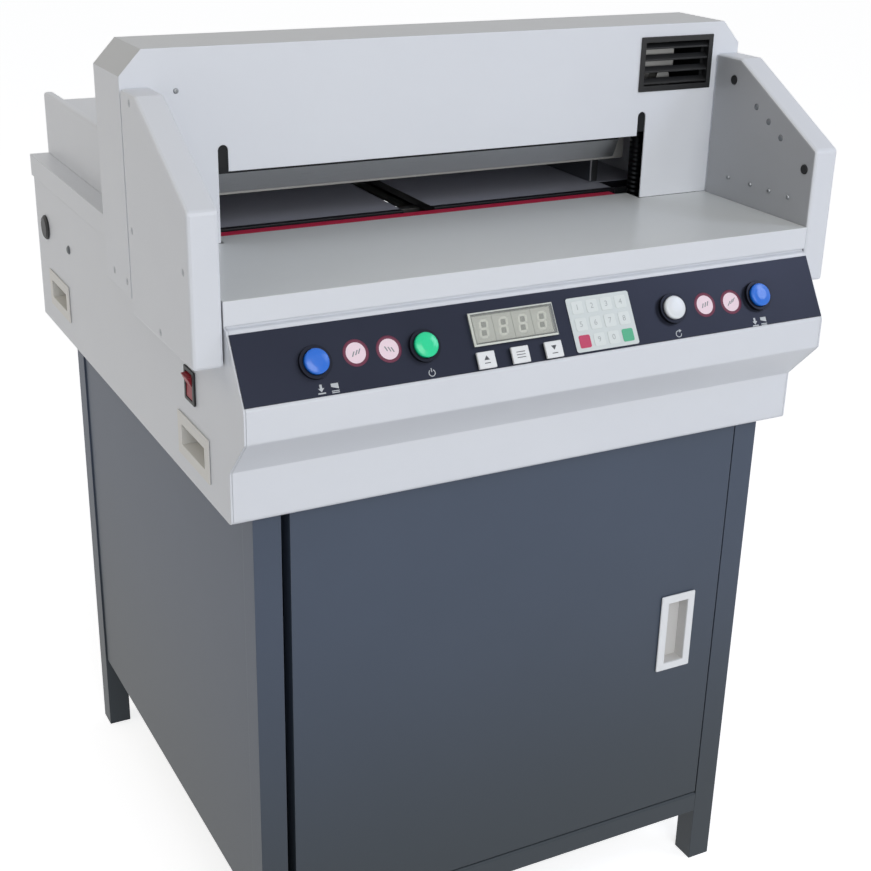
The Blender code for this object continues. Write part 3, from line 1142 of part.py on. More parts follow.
def make_gauge_drive():
    screw = rod((0, 0), "Y", RAIL_FRONT_Y, RAIL_REAR_Y, GAUGE_SCREW_R)
    screw.location = (SLOT_X, 0, GAUGE_AXIS_Z)
    finish(screw, "gauge_screw", "machined_steel")
    half = STEPPER_HALF
    motor = block((SLOT_X - half, SLOT_X + half), (RAIL_REAR_Y + GAP, RAIL_REAR_Y + GAP + STEPPER_LENGTH),
                  (GAUGE_AXIS_Z - half, GAUGE_AXIS_Z + half))
    finish(soften(motor, BEND_RADIUS, segments=1), "gauge_motor", "dark_steel")


# Hood, rear cover and side guards

HOOD_CHAMFER_X = 0.0213
HOOD_CHAMFER_Z = 0.0227
HOOD_BELOW_TABLE = 0.0434
END_SLOT_WIDTH = 0.010
END_SLOT_RISE = 0.025
COVER_LIP = 0.012
COVER_SINK = 0.010
LOUVRE_RIM = 0.004
LOUVRE_PROUD = 0.0015
LOUVRE_SLATS = 4
SLAT_THICK = 0.0016
CHEEK_BELOW_TABLE = 0.0583
CHEEK_SHOULDER_UP = 0.0772
CHEEK_BELOW_HOOD_TOP = 0.033
CHEEK_LEVEL_TOP = 0.0418
CHEEK_WALL = 0.0015
CHEEK_ROUND = 0.003
SENSOR_R = 0.0047
SENSOR_FROM_HOOD = 0.0337
SENSOR_BELOW_TOP = 0.023
SENSOR_FROM_FRONT = 0.0147
SENSOR_BELOW_SHOULDER = 0.021
SENSOR_BAR_HALF = 0.009
SENSOR_BAR_THICK = 0.008
SENSOR_PROUD = 0.0008
GUARD_SCREW_INSET = 0.0148
GUARD_SCREW_ABOVE_TABLE = 0.0245
GUARD_SCREW_FROM_BOTTOM = 0.009
GUARD_SCREW_FROM_TOP = 0.008
GUARD_SCREW_FROM_HOOD = 0.0284
HOOD_SCREW_UP = 0.014
HOOD_SCREW_INSET = 0.0103
HOOD_SCREW_FROM_BACK = 0.0286
COVER_SCREW_INSET = 0.014
COVER_SCREW_UP = 0.010

HOOD_BOTTOM = TABLE_TOP - HOOD_BELOW_TABLE
END_SLOT_TOP = HOOD_LIP + END_SLOT_RISE
CHEEK_INNER_X = BODY_WIDTH / 2 + CHEEK_CLEARANCE
CHEEK_BOTTOM = TABLE_TOP - CHEEK_BELOW_TABLE
CHEEK_SHOULDER = TABLE_TOP + CHEEK_SHOULDER_UP
CHEEK_TOP = OVERALL_HEIGHT - CHEEK_BELOW_HOOD_TOP
SENSOR_FIRST = (HOOD_FRONT_Y - SENSOR_FROM_HOOD, CHEEK_TOP - SENSOR_BELOW_TOP)
SENSOR_LAST = (TABLE_FRONT_Y + SENSOR_FROM_FRONT, CHEEK_SHOULDER - SENSOR_BELOW_SHOULDER)
GUARD_SCREWS = (
    (HOOD_FRONT_Y - GUARD_SCREW_INSET, TABLE_TOP + GUARD_SCREW_ABOVE_TABLE),
    (TABLE_FRONT_Y + GUARD_SCREW_INSET, TABLE_TOP + GUARD_SCREW_ABOVE_TABLE),
    ((TABLE_FRONT_Y + HOOD_FRONT_Y) / 2, CHEEK_BOTTOM + GUARD_SCREW_FROM_BOTTOM),
    (HOOD_FRONT_Y - GUARD_SCREW_FROM_HOOD, CHEEK_TOP - GUARD_SCREW_FROM_TOP),
)
HOOD_SCREWS = (
    (HOOD_FRONT_Y + HOOD_SCREW_INSET, HOOD_BOTTOM + HOOD_SCREW_UP),
    (HOOD_BACK_Y - HOOD_SCREW_FROM_BACK, HOOD_BOTTOM + HOOD_SCREW_UP),
)


def hood_outline(shrink, bottom):
    half = OVERALL_WIDTH / 2 - shrink
    top = OVERALL_HEIGHT - shrink
    cx, cz = HOOD_CHAMFER_X - shrink / 2, HOOD_CHAMFER_Z - shrink / 2
    return [(-half, bottom), (-half, top - cz), (-half + cx, top), (half - cx, top), (half, top - cz), (half, bottom)]


def end_slot(x0, y):
    """Cutter for the upright slot with a round top at an end of the opening."""
    radius = END_SLOT_WIDTH / 2
    centre = x0 + radius
    slot = block((x0, x0 + END_SLOT_WIDTH), y, (HOOD_LIP - OVERRUN, END_SLOT_TOP - radius))
    return join(slot, rod((centre, END_SLOT_TOP - radius), "Y", *y, radius, sides=16))


def make_hood():
    """Sheet hood over knife and clamp, open below, with the throat in front and the tunnel behind."""
    hood = prism(hood_outline(0, HOOD_BOTTOM), "Y", HOOD_FRONT_Y, HOOD_BACK_Y)
    inside = prism(hood_outline(HOOD_SHEET, HOOD_BOTTOM - OVERRUN), "Y", HOOD_FRONT_Y + HOOD_SHEET,
                   HOOD_BACK_Y - HOOD_SHEET)
    front = (HOOD_FRONT_Y - OVERRUN, HOOD_FRONT_Y + OVERRUN)
    back = (HOOD_BACK_Y - OVERRUN, HOOD_BACK_Y + OVERRUN)
    low = HOOD_BOTTOM - OVERRUN
    throat = block((OPENING_LEFT, OPENING_RIGHT), front, (low, HOOD_LIP))
    legs = block((-CHEEK_INNER_X, CHEEK_INNER_X), front, (low, TABLE_TOP + GAP))
    tunnel = block((-COVER_HALF_WIDTH - GAP, COVER_HALF_WIDTH + GAP), back, (low, COVER_TOP + GAP))
    band_half = BODY_WIDTH / 2 + RIM_BAND_PROUD + FREE
    ledge = block((-band_half, band_half), back, (low, SHELF_TOP + GAP))
    vent = block((LOUVRE_X[0] + LOUVRE_RIM - GAP, LOUVRE_X[1] - LOUVRE_RIM + GAP), front,
                 (LOUVRE_Z[0] + LOUVRE_RIM - GAP, LOUVRE_Z[1] - LOUVRE_RIM + GAP))
    cut(hood, inside, throat, legs, tunnel, ledge, vent, end_slot(OPENING_LEFT, front),
        end_slot(OPENING_RIGHT - END_SLOT_WIDTH, front))
    for side in (-1, 1):
        cut(hood, *screw_seats("X", side * OVERALL_WIDTH / 2, side, HOOD_SCREWS))
    finish(hood, "hood", "white_enamel")


def make_louvre():
    """Black vent grille with sloping slats in the hood's right end."""
    rim_y = (HOOD_FRONT_Y - GAP - LOUVRE_PROUD, HOOD_FRONT_Y - GAP)
    back = HOOD_FRONT_Y + LOUVRE_DEPTH
    rim = soften(block(LOUVRE_X, rim_y, LOUVRE_Z), LOUVRE_PROUD / 3, segments=1)
    x = (LOUVRE_X[0] + LOUVRE_RIM, LOUVRE_X[1] - LOUVRE_RIM)
    z = (LOUVRE_Z[0] + LOUVRE_RIM, LOUVRE_Z[1] - LOUVRE_RIM)
    duct = block(x, (rim_y[0] + LOUVRE_PROUD / 2, back), z)
    passage = block((x[0] + SLAT_THICK, x[1] - SLAT_THICK), (rim_y[0] - OVERRUN, back + OVERRUN),
                    (z[0] + SLAT_THICK, z[1] - SLAT_THICK))
    grille = cut(join(rim, duct), passage)
    pitch = (z[1] - z[0]) / LOUVRE_SLATS
    depth = back - rim_y[1]
    for i in range(LOUVRE_SLATS):
        middle = z[0] + pitch * i + pitch / 2
        slat = prism([(rim_y[1], middle - depth / 2), (rim_y[1], middle - depth / 2 + SLAT_THICK),
                      (back - GAP, middle + depth / 2), (back - GAP, middle + depth / 2 - SLAT_THICK)],
                     "X", x[0] + SLAT_THICK / 2, x[1] - SLAT_THICK / 2)
        join(grille, slat)
    finish(grille, "hood_louvre", "black_plastic")


def make_rear_cover():
    """Tunnel cover over the rear table: rolled lips along a sunken top, closed behind."""
    w, lip, top = COVER_HALF_WIDTH, COVER_LIP, COVER_TOP
    base = SHELF_TOP + GAP
    path = [(-w, base), (-w, top), (-w + lip, top), (-w + lip, top - COVER_SINK), (w - lip, top - COVER_SINK),
            (w - lip, top), (w, top), (w, base)]
    left, right = folded(path, HOOD_SHEET)
    cover = prism(left + right, "Y", HOOD_BACK_Y + GAP, REAR_Y)
    end = prism(left, "Y", REAR_Y - HOOD_SHEET, REAR_Y)
    screws = [(side * (w - COVER_SCREW_INSET), base + COVER_SCREW_UP) for side in (-1, 1)]
    finish(cut(join(cover, end), *screw_seats("Y", REAR_Y, 1, screws)), "rear_cover", "white_enamel")


def cheek_outline(shrink):
    front = TABLE_FRONT_Y + shrink
    back = HOOD_FRONT_Y - GAP - shrink
    turn = back - CHEEK_LEVEL_TOP
    return [(front, CHEEK_BOTTOM + shrink), (front, CHEEK_SHOULDER - shrink), (turn, CHEEK_TOP - shrink),
            (back, CHEEK_TOP - shrink), (back, CHEEK_BOTTOM + shrink)]


def make_cheeks():
    """Hollow side guards beside the table, each with a light barrier behind two holes."""
    for side, side_name in ((-1, "left"), (1, "right")):
        guard = prism(cheek_outline(0), "X", *mirrored(side, CHEEK_INNER_X, OVERALL_WIDTH / 2))
        soften(guard, CHEEK_ROUND, segments=2)
        inner = prism(cheek_outline(CHEEK_WALL), "X",
                      *mirrored(side, CHEEK_INNER_X + CHEEK_WALL, OVERALL_WIDTH / 2 - CHEEK_WALL))
        soften(inner, CHEEK_ROUND - CHEEK_WALL, segments=1)
        holes = [rod(place, "X", *mirrored(side, CHEEK_INNER_X - OVERRUN, CHEEK_INNER_X + CHEEK_WALL + OVERRUN / 2),
                     SENSOR_R + GAP, sides=20) for place in (SENSOR_FIRST, SENSOR_LAST)]
        seats = screw_seats("X", side * OVERALL_WIDTH / 2, side, GUARD_SCREWS)
        finish(cut(guard, inner, *holes, *seats), f"cheek_{side_name}", "white_enamel")
        make_sensor_bar(side, side_name)


def make_sensor_bar(side, side_name):
    first, last = Vector(SENSOR_FIRST), Vector(SENSOR_LAST)
    along = (last - first).normalized()
    across = Vector((-along.y, along.x)) * SENSOR_BAR_HALF
    start, end = first - along * SENSOR_BAR_HALF, last + along * SENSOR_BAR_HALF
    outline = [tuple(start - across), tuple(end - across), tuple(end + across), tuple(start + across)]
    near = CHEEK_INNER_X + CHEEK_WALL + GAP
    bar = prism(outline, "X", *mirrored(side, near, near + SENSOR_BAR_THICK))
    lenses = [rod(place, "X", *mirrored(side, CHEEK_INNER_X - SENSOR_PROUD, near + SENSOR_BAR_THICK / 2), SENSOR_R,
                  sides=20) for place in (SENSOR_FIRST, SENSOR_LAST)]
    finish(join(bar, *lenses), f"sensors_{side_name}", "black_plastic")


def build():
    clear_scene()
    make_posts()
    make_cabinet_panels()
    make_floor_pan()
    make_door()
    make_door_handle()
    make_door_pins()
    make_base_tray()
    make_side_walls()
    make_grips()
    make_side_plug()
    make_front_skin()
    make_controls()
    make_rocker()
    make_work_table()
    make_cutting_stick()
    make_rear_table()
    make_side_guide()
    make_side_frames()
    make_cross_beam()
    make_knife_carrier()
    make_knife_blade()
    make_knife_drive()
    make_clamp_beam()
    make_clamp_yoke()
    make_clamp_drive()
    make_gauge_rails()
    make_gauge_carriage()
    make_back_gauge()
    make_gauge_drive()
    make_hood()
    make_louvre()
    make_rear_cover()
    make_cheeks()
    bpy.context.view_layer.update()


build()
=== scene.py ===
# %% [markdown]
# # Dressing an electric paper cutter
#
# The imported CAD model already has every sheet, plate and shaft of the machine in metres. This lesson gives
# them their real finishes, adds the small things that a CAD model leaves out (screws, legends, display
# digits), and lights it all as in a plain studio. Nothing here moves or reshapes a CAD part.

# %% Load the frame
import math

import bmesh
import bpy
from mathutils import Matrix, Vector


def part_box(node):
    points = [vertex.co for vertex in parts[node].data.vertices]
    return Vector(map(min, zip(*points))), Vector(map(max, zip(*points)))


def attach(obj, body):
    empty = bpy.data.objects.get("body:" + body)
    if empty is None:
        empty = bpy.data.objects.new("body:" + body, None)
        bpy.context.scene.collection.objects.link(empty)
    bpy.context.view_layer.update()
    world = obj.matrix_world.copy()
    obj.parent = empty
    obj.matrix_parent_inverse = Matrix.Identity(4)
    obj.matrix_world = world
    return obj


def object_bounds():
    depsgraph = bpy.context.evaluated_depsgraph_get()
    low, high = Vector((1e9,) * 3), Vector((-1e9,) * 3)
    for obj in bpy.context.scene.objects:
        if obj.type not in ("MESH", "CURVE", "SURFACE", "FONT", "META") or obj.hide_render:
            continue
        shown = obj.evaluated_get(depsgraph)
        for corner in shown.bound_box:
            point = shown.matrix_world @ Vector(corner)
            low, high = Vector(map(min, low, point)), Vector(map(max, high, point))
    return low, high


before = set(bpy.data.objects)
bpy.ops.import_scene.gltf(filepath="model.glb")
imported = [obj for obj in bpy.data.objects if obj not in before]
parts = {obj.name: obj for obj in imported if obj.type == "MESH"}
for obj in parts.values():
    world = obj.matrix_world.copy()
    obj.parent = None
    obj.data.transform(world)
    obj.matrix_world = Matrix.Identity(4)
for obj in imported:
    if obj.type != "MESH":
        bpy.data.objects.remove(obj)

cad_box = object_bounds()
print(len(parts), "CAD parts, box", [[round(v, 4) for v in corner] for corner in cad_box])

# %% [markdown]
# ## The camera
#
# The photograph was taken from the front left, a little above the hood, with a normal lens. Its place and
# angles were found by fitting the machine's straight edges, so the render can be laid over the photograph.
# The azimuth turns round the machine, the elevation looks down, and the roll is the slight tilt of a camera
# held by hand.

# %% Place the camera
CAMERA_PLACE = Vector((-0.7019, -1.4269, 1.1516))
AZIMUTH, ELEVATION, ROLL = -28.04, 22.73, 1.37   # degrees
LENS, SENSOR_WIDTH = 60.8, 36                    # millimetres
MACHINE_MIDDLE = Vector((0, 0, 0.5))


def turned(x_axis, y_axis, z_axis, origin=(0, 0, 0)):
    """The matrix that lays the camera, or a flat drawing, along three axes, with its origin in a place."""
    return Matrix.Translation(origin) @ Matrix((x_axis, y_axis, z_axis)).transposed().to_4x4()


azimuth, elevation, roll = (math.radians(angle) for angle in (AZIMUTH, ELEVATION, ROLL))
back = Vector((math.sin(azimuth) * math.cos(elevation), -math.cos(azimuth) * math.cos(elevation),
               math.sin(elevation)))
level_right = Vector((0, 0, 1)).cross(back).normalized()
level_up = back.cross(level_right)
right = math.cos(roll) * level_right + math.sin(roll) * level_up
up = math.cos(roll) * level_up - math.sin(roll) * level_right

camera = bpy.data.objects.new("camera", bpy.data.cameras.new("camera"))
camera.data.lens, camera.data.sensor_width = LENS, SENSOR_WIDTH
camera.matrix_world = turned(right, up, back, CAMERA_PLACE)
bpy.context.scene.collection.objects.link(camera)
bpy.context.scene.camera = camera
bpy.context.scene.view_settings.view_transform = "Standard"
print("camera", round((CAMERA_PLACE - MACHINE_MIDDLE).length, 2), "m from the machine's middle")

# %% [markdown]
# ## One helper for every node
#
# Materials, the world and the Geometry Nodes trees below are all node trees. One small function adds any
# node: its properties come as keywords, and its sockets take a value, the output of another node, or a list
# of outputs where a socket takes several. Colours are written as on a paint card, in sRGB, and one function
# turns them into the linear values that the sockets take.

# %% Add a node to a tree
def add(tree, kind, sockets=None, **settings):
    made = tree.nodes.new(kind)
    for name, value in settings.items():
        setattr(made, name, value)
    for name, value in (sockets or {}).items():
        socket = made.inputs[name]
        for item in value if isinstance(value, list) else [value]:
            if isinstance(item, bpy.types.NodeSocket):
                tree.links.new(item, socket)
            else:
                socket.default_value = item
    return made


def linear(hex_colour):
    """An sRGB colour such as #D8DBE0 as the linear RGBA that Blender's sockets take."""
    channels = [int(hex_colour[i:i + 2], 16) / 255 for i in (1, 3, 5)]
    return (*[c / 12.92 if c <= 0.04045 else ((c + 0.055) / 1.055) ** 2.4 for c in channels], 1)


print("a middle grey, #808080, is", round(linear("#808080")[0], 3), "in linear light")

# %% [markdown]
# ## World and floor
#
# A product photograph on white needs a floor that vanishes and still carries the shadow that makes the
# machine stand. The world is white to the camera and to reflections, but lights the machine at a lower
# level, so that pale sheet keeps its tone, and like a studio with lit walls it is brighter round the horizon
# than overhead. The floor does the same: where it is seen it glows a little over its paint.

# %% One shader for what is lit, one for what is seen
def lit_or_seen(tree, lit, seen, ending):
    """One shader for diffuse rays, which do the lighting, and another for the camera and for reflections."""
    path = add(tree, "ShaderNodeLightPath").outputs
    share = path["Is Camera Ray"]
    for ray in ("Is Glossy Ray", "Is Transmission Ray"):
        share = add(tree, "ShaderNodeMath", {0: share, 1: path[ray]}, operation="MAXIMUM").outputs[0]
    mixed = add(tree, "ShaderNodeMixShader", {0: share, 1: lit.outputs[0], 2: seen.outputs[0]})
    add(tree, ending, {"Surface": mixed.outputs[0]})


# %% The world
HORIZON, OVERHEAD = 0.52, 0.28   # its strength as a light

world = bpy.data.worlds.new("studio")
bpy.context.scene.world = world
world.use_nodes = True
tree = world.node_tree
tree.nodes.clear()
looking = add(tree, "ShaderNodeTexCoord").outputs["Generated"]
height = add(tree, "ShaderNodeSeparateXYZ", {0: looking}).outputs["Z"]
level = add(tree, "ShaderNodeMapRange", {"Value": height, "To Min": HORIZON, "To Max": OVERHEAD})
fill = add(tree, "ShaderNodeBackground", {"Color": linear("#FAFAFA"), "Strength": level.outputs[0]})
white = add(tree, "ShaderNodeBackground", {"Color": linear("#FFFFFF"), "Strength": 1.0})
lit_or_seen(tree, fill, white, "ShaderNodeOutputWorld")
print("the world lights with", HORIZON, "at the horizon and", OVERHEAD, "overhead")

# %% The floor
FLOOR_REACH, FLOOR_LIFT = 9, 0.73   # metres each way, and the glow where the floor is seen
CORNERS = ((-1, -1), (1, -1), (1, 1), (-1, 1))   # a rectangle's, running left round

floor_mesh = bpy.data.meshes.new("studio_floor")
floor_mesh.from_pydata([(x * FLOOR_REACH, y * FLOOR_REACH, 0) for x, y in CORNERS], [], [(0, 1, 2, 3)])
studio_floor = bpy.data.objects.new("studio_floor", floor_mesh)
bpy.context.scene.collection.objects.link(studio_floor)
floor_paint = bpy.data.materials.new("studio_floor")
floor_paint.use_nodes = True
tree = floor_paint.node_tree
tree.nodes.clear()
paint = add(tree, "ShaderNodeBsdfDiffuse", {"Color": linear("#DEDFE1")})
lift = add(tree, "ShaderNodeEmission", {"Color": linear("#FFFFFF"), "Strength": FLOOR_LIFT})
lifted = add(tree, "ShaderNodeAddShader", {0: paint.outputs[0], 1: lift.outputs[0]})
lit_or_seen(tree, paint, lifted, "ShaderNodeOutputMaterial")
floor_mesh.materials.append(floor_paint)
print("a floor", 2 * FLOOR_REACH, "m across")

# %% [markdown]
# ## Three soft lamps
#
# One wide lamp in front lifts the surfaces that face the person at the machine, which is why the front looks
# lighter than the sides and the table. A small warm one on the left keeps the left walls from going flat. A
# small cool one stands up on the right, and its mirror picture lies as a sheen on the right end of the
# control film.

# %% Soft lamps
def soft_lamp(name, place, aim, size, watts, colour):
    """A square area lamp in a place, turned so that it looks at another."""
    lamp = bpy.data.objects.new(name, bpy.data.lights.new(name, "AREA"))
    lamp.data.shape = "SQUARE"
    lamp.data.size = size
    lamp.data.energy = watts
    lamp.data.color = linear(colour)[:3]
    lamp.location = place
    lamp.rotation_euler = (Vector(place) - Vector(aim)).to_track_quat("Z", "Y").to_euler()
    bpy.context.scene.collection.objects.link(lamp)
    print(name, "of", watts, "W,", size, "m wide")


soft_lamp("front_lamp", (-0.3, -3.6, 2.2), (0, 0, 0.6), 2.4, 60, "#FCFDFF")
soft_lamp("left_lamp", (-1.8, 0.6, 2.0), (-0.3, 0.2, 0.7), 1.0, 4.5, "#FFEFD2")
soft_lamp("right_lamp", (1.65, -1.4, 2.05), (0.3, -0.3, 0.72), 0.7, 8, "#DCE6FF")

# %% [markdown]
# ## Painted sheet
#
# The casing, the guards and the cabinet are folded sheet steel with a baked powder coat. Close up such a
# coat is never quite flat: it has the faint "orange peel" of melted powder, about 1.5 mm from crest to crest,
# and it rounds every edge of the sheet. The CAD edges are sharp, so the Bevel node rounds them in the shading
# alone, and a soft noise gives the peel and the very slight mottling of the tone. Where the rounded normal
# leaves the face's own, the point lies on an edge, and the coat is paler there. Two more layers are painted
# shade: a grey where the sheet looks up, and a brownish darkening that thickens towards the floor.

# %% A material, and zones of other colours on it
def material(name, **sockets):
    """A material with one Principled shader, its constants set on the shader's own sockets."""
    made = bpy.data.materials.new(name)
    made.use_nodes = True
    tree = made.node_tree
    shader = tree.nodes["Principled BSDF"]
    for socket, value in sockets.items():
        shader.inputs[socket.replace("_", " ")].default_value = value
    return made, tree, shader, add(tree, "ShaderNodeTexCoord").outputs["Object"]


def zoned(tree, place, colour, zones):
    """Other colours in slabs of the part, each with its axis, its two ends along it and its colour."""
    split = add(tree, "ShaderNodeSeparateXYZ", {0: place})
    for axis, low, high, other in zones:
        inside = add(tree, "ShaderNodeMath", {0: split.outputs[axis], 1: (low + high) / 2,
                                              2: (high - low) / 2}, operation="COMPARE")
        colour = add(tree, "ShaderNodeMix", {0: inside.outputs[0], 6: colour, 7: linear(other)},
                     data_type="RGBA").outputs[2]
    return colour


# %% Powder coat
PEEL_SCALE = 660.0                   # crests of the peel 1.5 mm apart: a noise of scale 1 / 0.0015 m
FLOOR_SHADE_TOP, FLOOR_SHADE_FULL = 0.50, 0.05   # heights where the painted shade starts and where it is full


def powder_coat(name, base, mottled, edge, roughness, edge_radius=0.0009, ior=1.5, zones=(), top_shade=None,
                floor_shade=None):
    """Three tones of the paint, mottled in clouds about 110 mm wide, then painted shade, zones and the peel."""
    made, tree, shader, place = material(name, Roughness=roughness, IOR=ior)
    mottle = add(tree, "ShaderNodeTexNoise", {"Vector": place, "Scale": 9.0, "Detail": 3.0,
                                              "Roughness": 0.6})
    rounded = add(tree, "ShaderNodeBevel", {"Radius": edge_radius}, samples=6)
    facing = add(tree, "ShaderNodeNewGeometry").outputs["Normal"]
    bend = add(tree, "ShaderNodeVectorMath", {0: rounded.outputs[0], 1: facing}, operation="DOT_PRODUCT")
    rim = add(tree, "ShaderNodeMapRange", {"Value": bend.outputs["Value"], "From Min": 0.99,
                                           "From Max": 0.8, "To Max": 0.6})
    layers = [(mottle.outputs["Fac"], mottled), (rim.outputs[0], edge)]
    # painted shade: where the sheet looks up, its tone goes over to a greyer one
    if top_shade:
        upward = add(tree, "ShaderNodeSeparateXYZ", {0: facing}).outputs["Z"]
        lying = add(tree, "ShaderNodeMapRange", {"Value": upward, "From Min": 0.2, "From Max": 0.7})
        layers.append((lying.outputs[0], top_shade))
    # painted shade: towards the floor the tone goes over to a darker, brownish one
    if floor_shade:
        height = add(tree, "ShaderNodeSeparateXYZ", {0: place}).outputs["Z"]
        film = add(tree, "ShaderNodeMapRange", {"Value": height, "From Min": FLOOR_SHADE_TOP,
                                                "From Max": FLOOR_SHADE_FULL}, interpolation_type="SMOOTHSTEP")
        layers.append((film.outputs[0], floor_shade))
    colour = linear(base)
    for share, layer in layers:
        colour = add(tree, "ShaderNodeMix", {0: share, 6: colour, 7: linear(layer)},
                     data_type="RGBA").outputs[2]
    peel = add(tree, "ShaderNodeTexNoise", {"Vector": place, "Scale": PEEL_SCALE, "Detail": 1.0})
    bumped = add(tree, "ShaderNodeBump", {"Height": peel.outputs["Fac"], "Normal": rounded.outputs[0],
                                          "Strength": 0.10, "Distance": 0.0002})
    tree.links.new(zoned(tree, place, colour, zones), shader.inputs["Base Color"])
    tree.links.new(bumped.outputs[0], shader.inputs["Normal"])
    return made


# %% [markdown]
# ### Six coats
#
# All are the same paint in other tones. A part that has two colours, such as a guard with its inner faces in
# painted shade, is one solid in the CAD model. It could be cut in two, but that would change the CAD part, so the
# second colour is a zone: a slab between two heights or widths, compared with the point's own place.

# %% The machine's coats
MARGIN = 0.0004                               # keeps a zone's end clear of the next face
GUARD_FACE = 0.3122                           # the guards' inner faces, from the middle
APRON_FOOT, TABLE_TOP = 0.70, 0.7784          # heights, the first of them below both tables
GROOVE_FRONT = -0.1169                        # the work table's groove for the stick, along Y
REAR_TABLE_EDGE = (-0.10, -0.087)             # the rear table's front edge, along Y

# satin off-white, a little cool, on all of the upper casing
white_coat = powder_coat("white_powder_coat", "#E0E3E8", "#DBDEE4", "#E5E8EC", 0.42)
# the same coat on the hood, whose upward faces are greyed: painted shade
hood_coat = powder_coat("hood_powder_coat", "#E0E3E8", "#DBDEE4", "#E5E8EC", 0.42, top_shade="#BDBFC1")
# the same coat on the side guards, whose inner faces are a darker grey: painted shade of the throat
guard_coat = powder_coat("guard_powder_coat", "#E0E3E8", "#DBDEE4", "#EAECEF", 0.42,
                         zones=[("X", -GUARD_FACE - MARGIN, GUARD_FACE + MARGIN, "#A5A7AB")])
# slate grey with a blue cast, on the cabinet: its worn edges look paler; a brownish painted shade darkens it low
# down
slate_coat = powder_coat("slate_powder_coat", "#485263", "#434D5D", "#6A7382", 0.44, ior=1.38,
                         floor_shade="#363D43")
# the work table is greyer and smoother, so that paper slides on it; its apron is the casing's white, and
# behind the groove's front it is near black: painted shade of the gap between the stick and the rear table
table_coat = powder_coat("grey_table_enamel", "#E0E3E3", "#DBDEDE", "#E8EBEB", 0.34,
                         zones=[("Z", APRON_FOOT, TABLE_TOP - MARGIN, "#E0E3E8"),
                                ("Y", GROOVE_FRONT, 0, "#15161A")])
# the rear table under the machine's covers: its dark grey, black front edge and black slot walls are painted
# shade
rear_coat = powder_coat("dark_table_enamel", "#A8ABB6", "#A2A5B0", "#B2B5BE", 0.36,
                        zones=[("Z", APRON_FOOT, TABLE_TOP - MARGIN, "#15161A"),
                               ("Y", *REAR_TABLE_EDGE, "#15161A")])
print("six coats, the peel", round(1000 / PEEL_SCALE, 1), "mm from crest to crest")

# %% [markdown]
# ## Moulded plastics
#
# Grips, pull, bezels, rocker frame and vent are injection moulded. A mould is etched so that the part comes
# out matt, with grains a few tenths of a millimetre wide. That is too fine for this picture, so the grain is
# drawn 0.6 mm wide. Push-button caps are polished instead: smooth, glossy, and slightly translucent. Both
# are handled every day, so how dull they are wanders a little from place to place.

# %% A surface with a grain
FINE = 0.0001   # how deep a grain, a grinding line or the screen of an ink goes, in metres


def grained(tree, shader, worn, roughness, wander, grain, strength, edge_radius=0.0005):
    """Roughness that wanders where the surface is worn, and a fine grain over softly rounded edges."""
    polish = add(tree, "ShaderNodeMapRange", {"Value": worn, "To Min": roughness - wander,
                                              "To Max": roughness + wander})
    rounded = add(tree, "ShaderNodeBevel", {"Radius": edge_radius}, samples=6)
    bumped = add(tree, "ShaderNodeBump", {"Height": grain, "Normal": rounded.outputs[0],
                                          "Strength": strength, "Distance": FINE})
    tree.links.new(polish.outputs[0], shader.inputs["Roughness"])
    tree.links.new(bumped.outputs[0], shader.inputs["Normal"])


# %% Matt and glossy plastics
ETCHING_SCALE = 1600.0   # a noise of scale 1 / 0.0006 m


def etched_plastic(name, colour, roughness, zones=()):
    """A matt moulding: the etching as a bump, and a rub about 17 mm wide in how dull it is."""
    made, tree, shader, place = material(name, Base_Color=linear(colour), IOR=1.49)
    if zones:
        tree.links.new(zoned(tree, place, linear(colour), zones), shader.inputs["Base Color"])
    etching = add(tree, "ShaderNodeTexNoise", {"Vector": place, "Scale": ETCHING_SCALE, "Detail": 2.0})
    rub = add(tree, "ShaderNodeTexNoise", {"Vector": place, "Scale": 60.0, "Detail": 3.0})
    grained(tree, shader, rub.outputs["Fac"], roughness, 0.06, etching.outputs["Fac"], 0.15)
    return made


def polished_plastic(name, colour, roughness=0.22, edge_radius=0.0006):
    """A glossy moulding: no grain, only wipe marks about 7 mm wide in its gloss."""
    made, tree, shader, place = material(name, Base_Color=linear(colour), IOR=1.49, Coat_Weight=0.2,
                                         Coat_Roughness=0.12, Subsurface_Weight=0.03,
                                         Subsurface_Scale=0.003)
    wipe = add(tree, "ShaderNodeTexNoise", {"Vector": place, "Scale": 140.0, "Detail": 2.0})
    polish = add(tree, "ShaderNodeMapRange", {"Value": wipe.outputs["Fac"], "To Min": roughness - 0.06,
                                              "To Max": roughness + 0.06})
    rounded = add(tree, "ShaderNodeBevel", {"Radius": edge_radius}, samples=8)
    tree.links.new(polish.outputs[0], shader.inputs["Roughness"])
    tree.links.new(rounded.outputs[0], shader.inputs["Normal"])
    return made


# %% [markdown]
# ### Eight plastics
#
# Each moulding could have its own tree. Since all come from moulds that are either etched or polished, a name,
# a colour and a dullness tell them apart. The pull's pocket is the one second colour.

# %% The machine's plastics
PULL_POCKET = (-0.3008, -0.27)   # behind the rim of the door's pull, along Y
CROWN_RADIUS = 0.003             # the caps' crowns are softly rounded, so their shading is rounded widely

# black ABS of the vent, rocker frame, plug and sensor bars: deep, with a soft grey sheen
black_abs = etched_plastic("black_etched_abs", "#101113", 0.50)
# white ABS of the keys, and of the door's pull, whose pocket is a darker grey
white_abs = etched_plastic("white_etched_abs", "#E9EBEC", 0.40)
pull_abs = etched_plastic("white_pull_abs", "#EDEFF1", 0.40, zones=[("Y", *PULL_POCKET, "#D3D2D0")])
# cream ABS of the lifting grips, a little yellower than the paint round it
cream_abs = etched_plastic("cream_etched_abs", "#E2E1DD", 0.46)
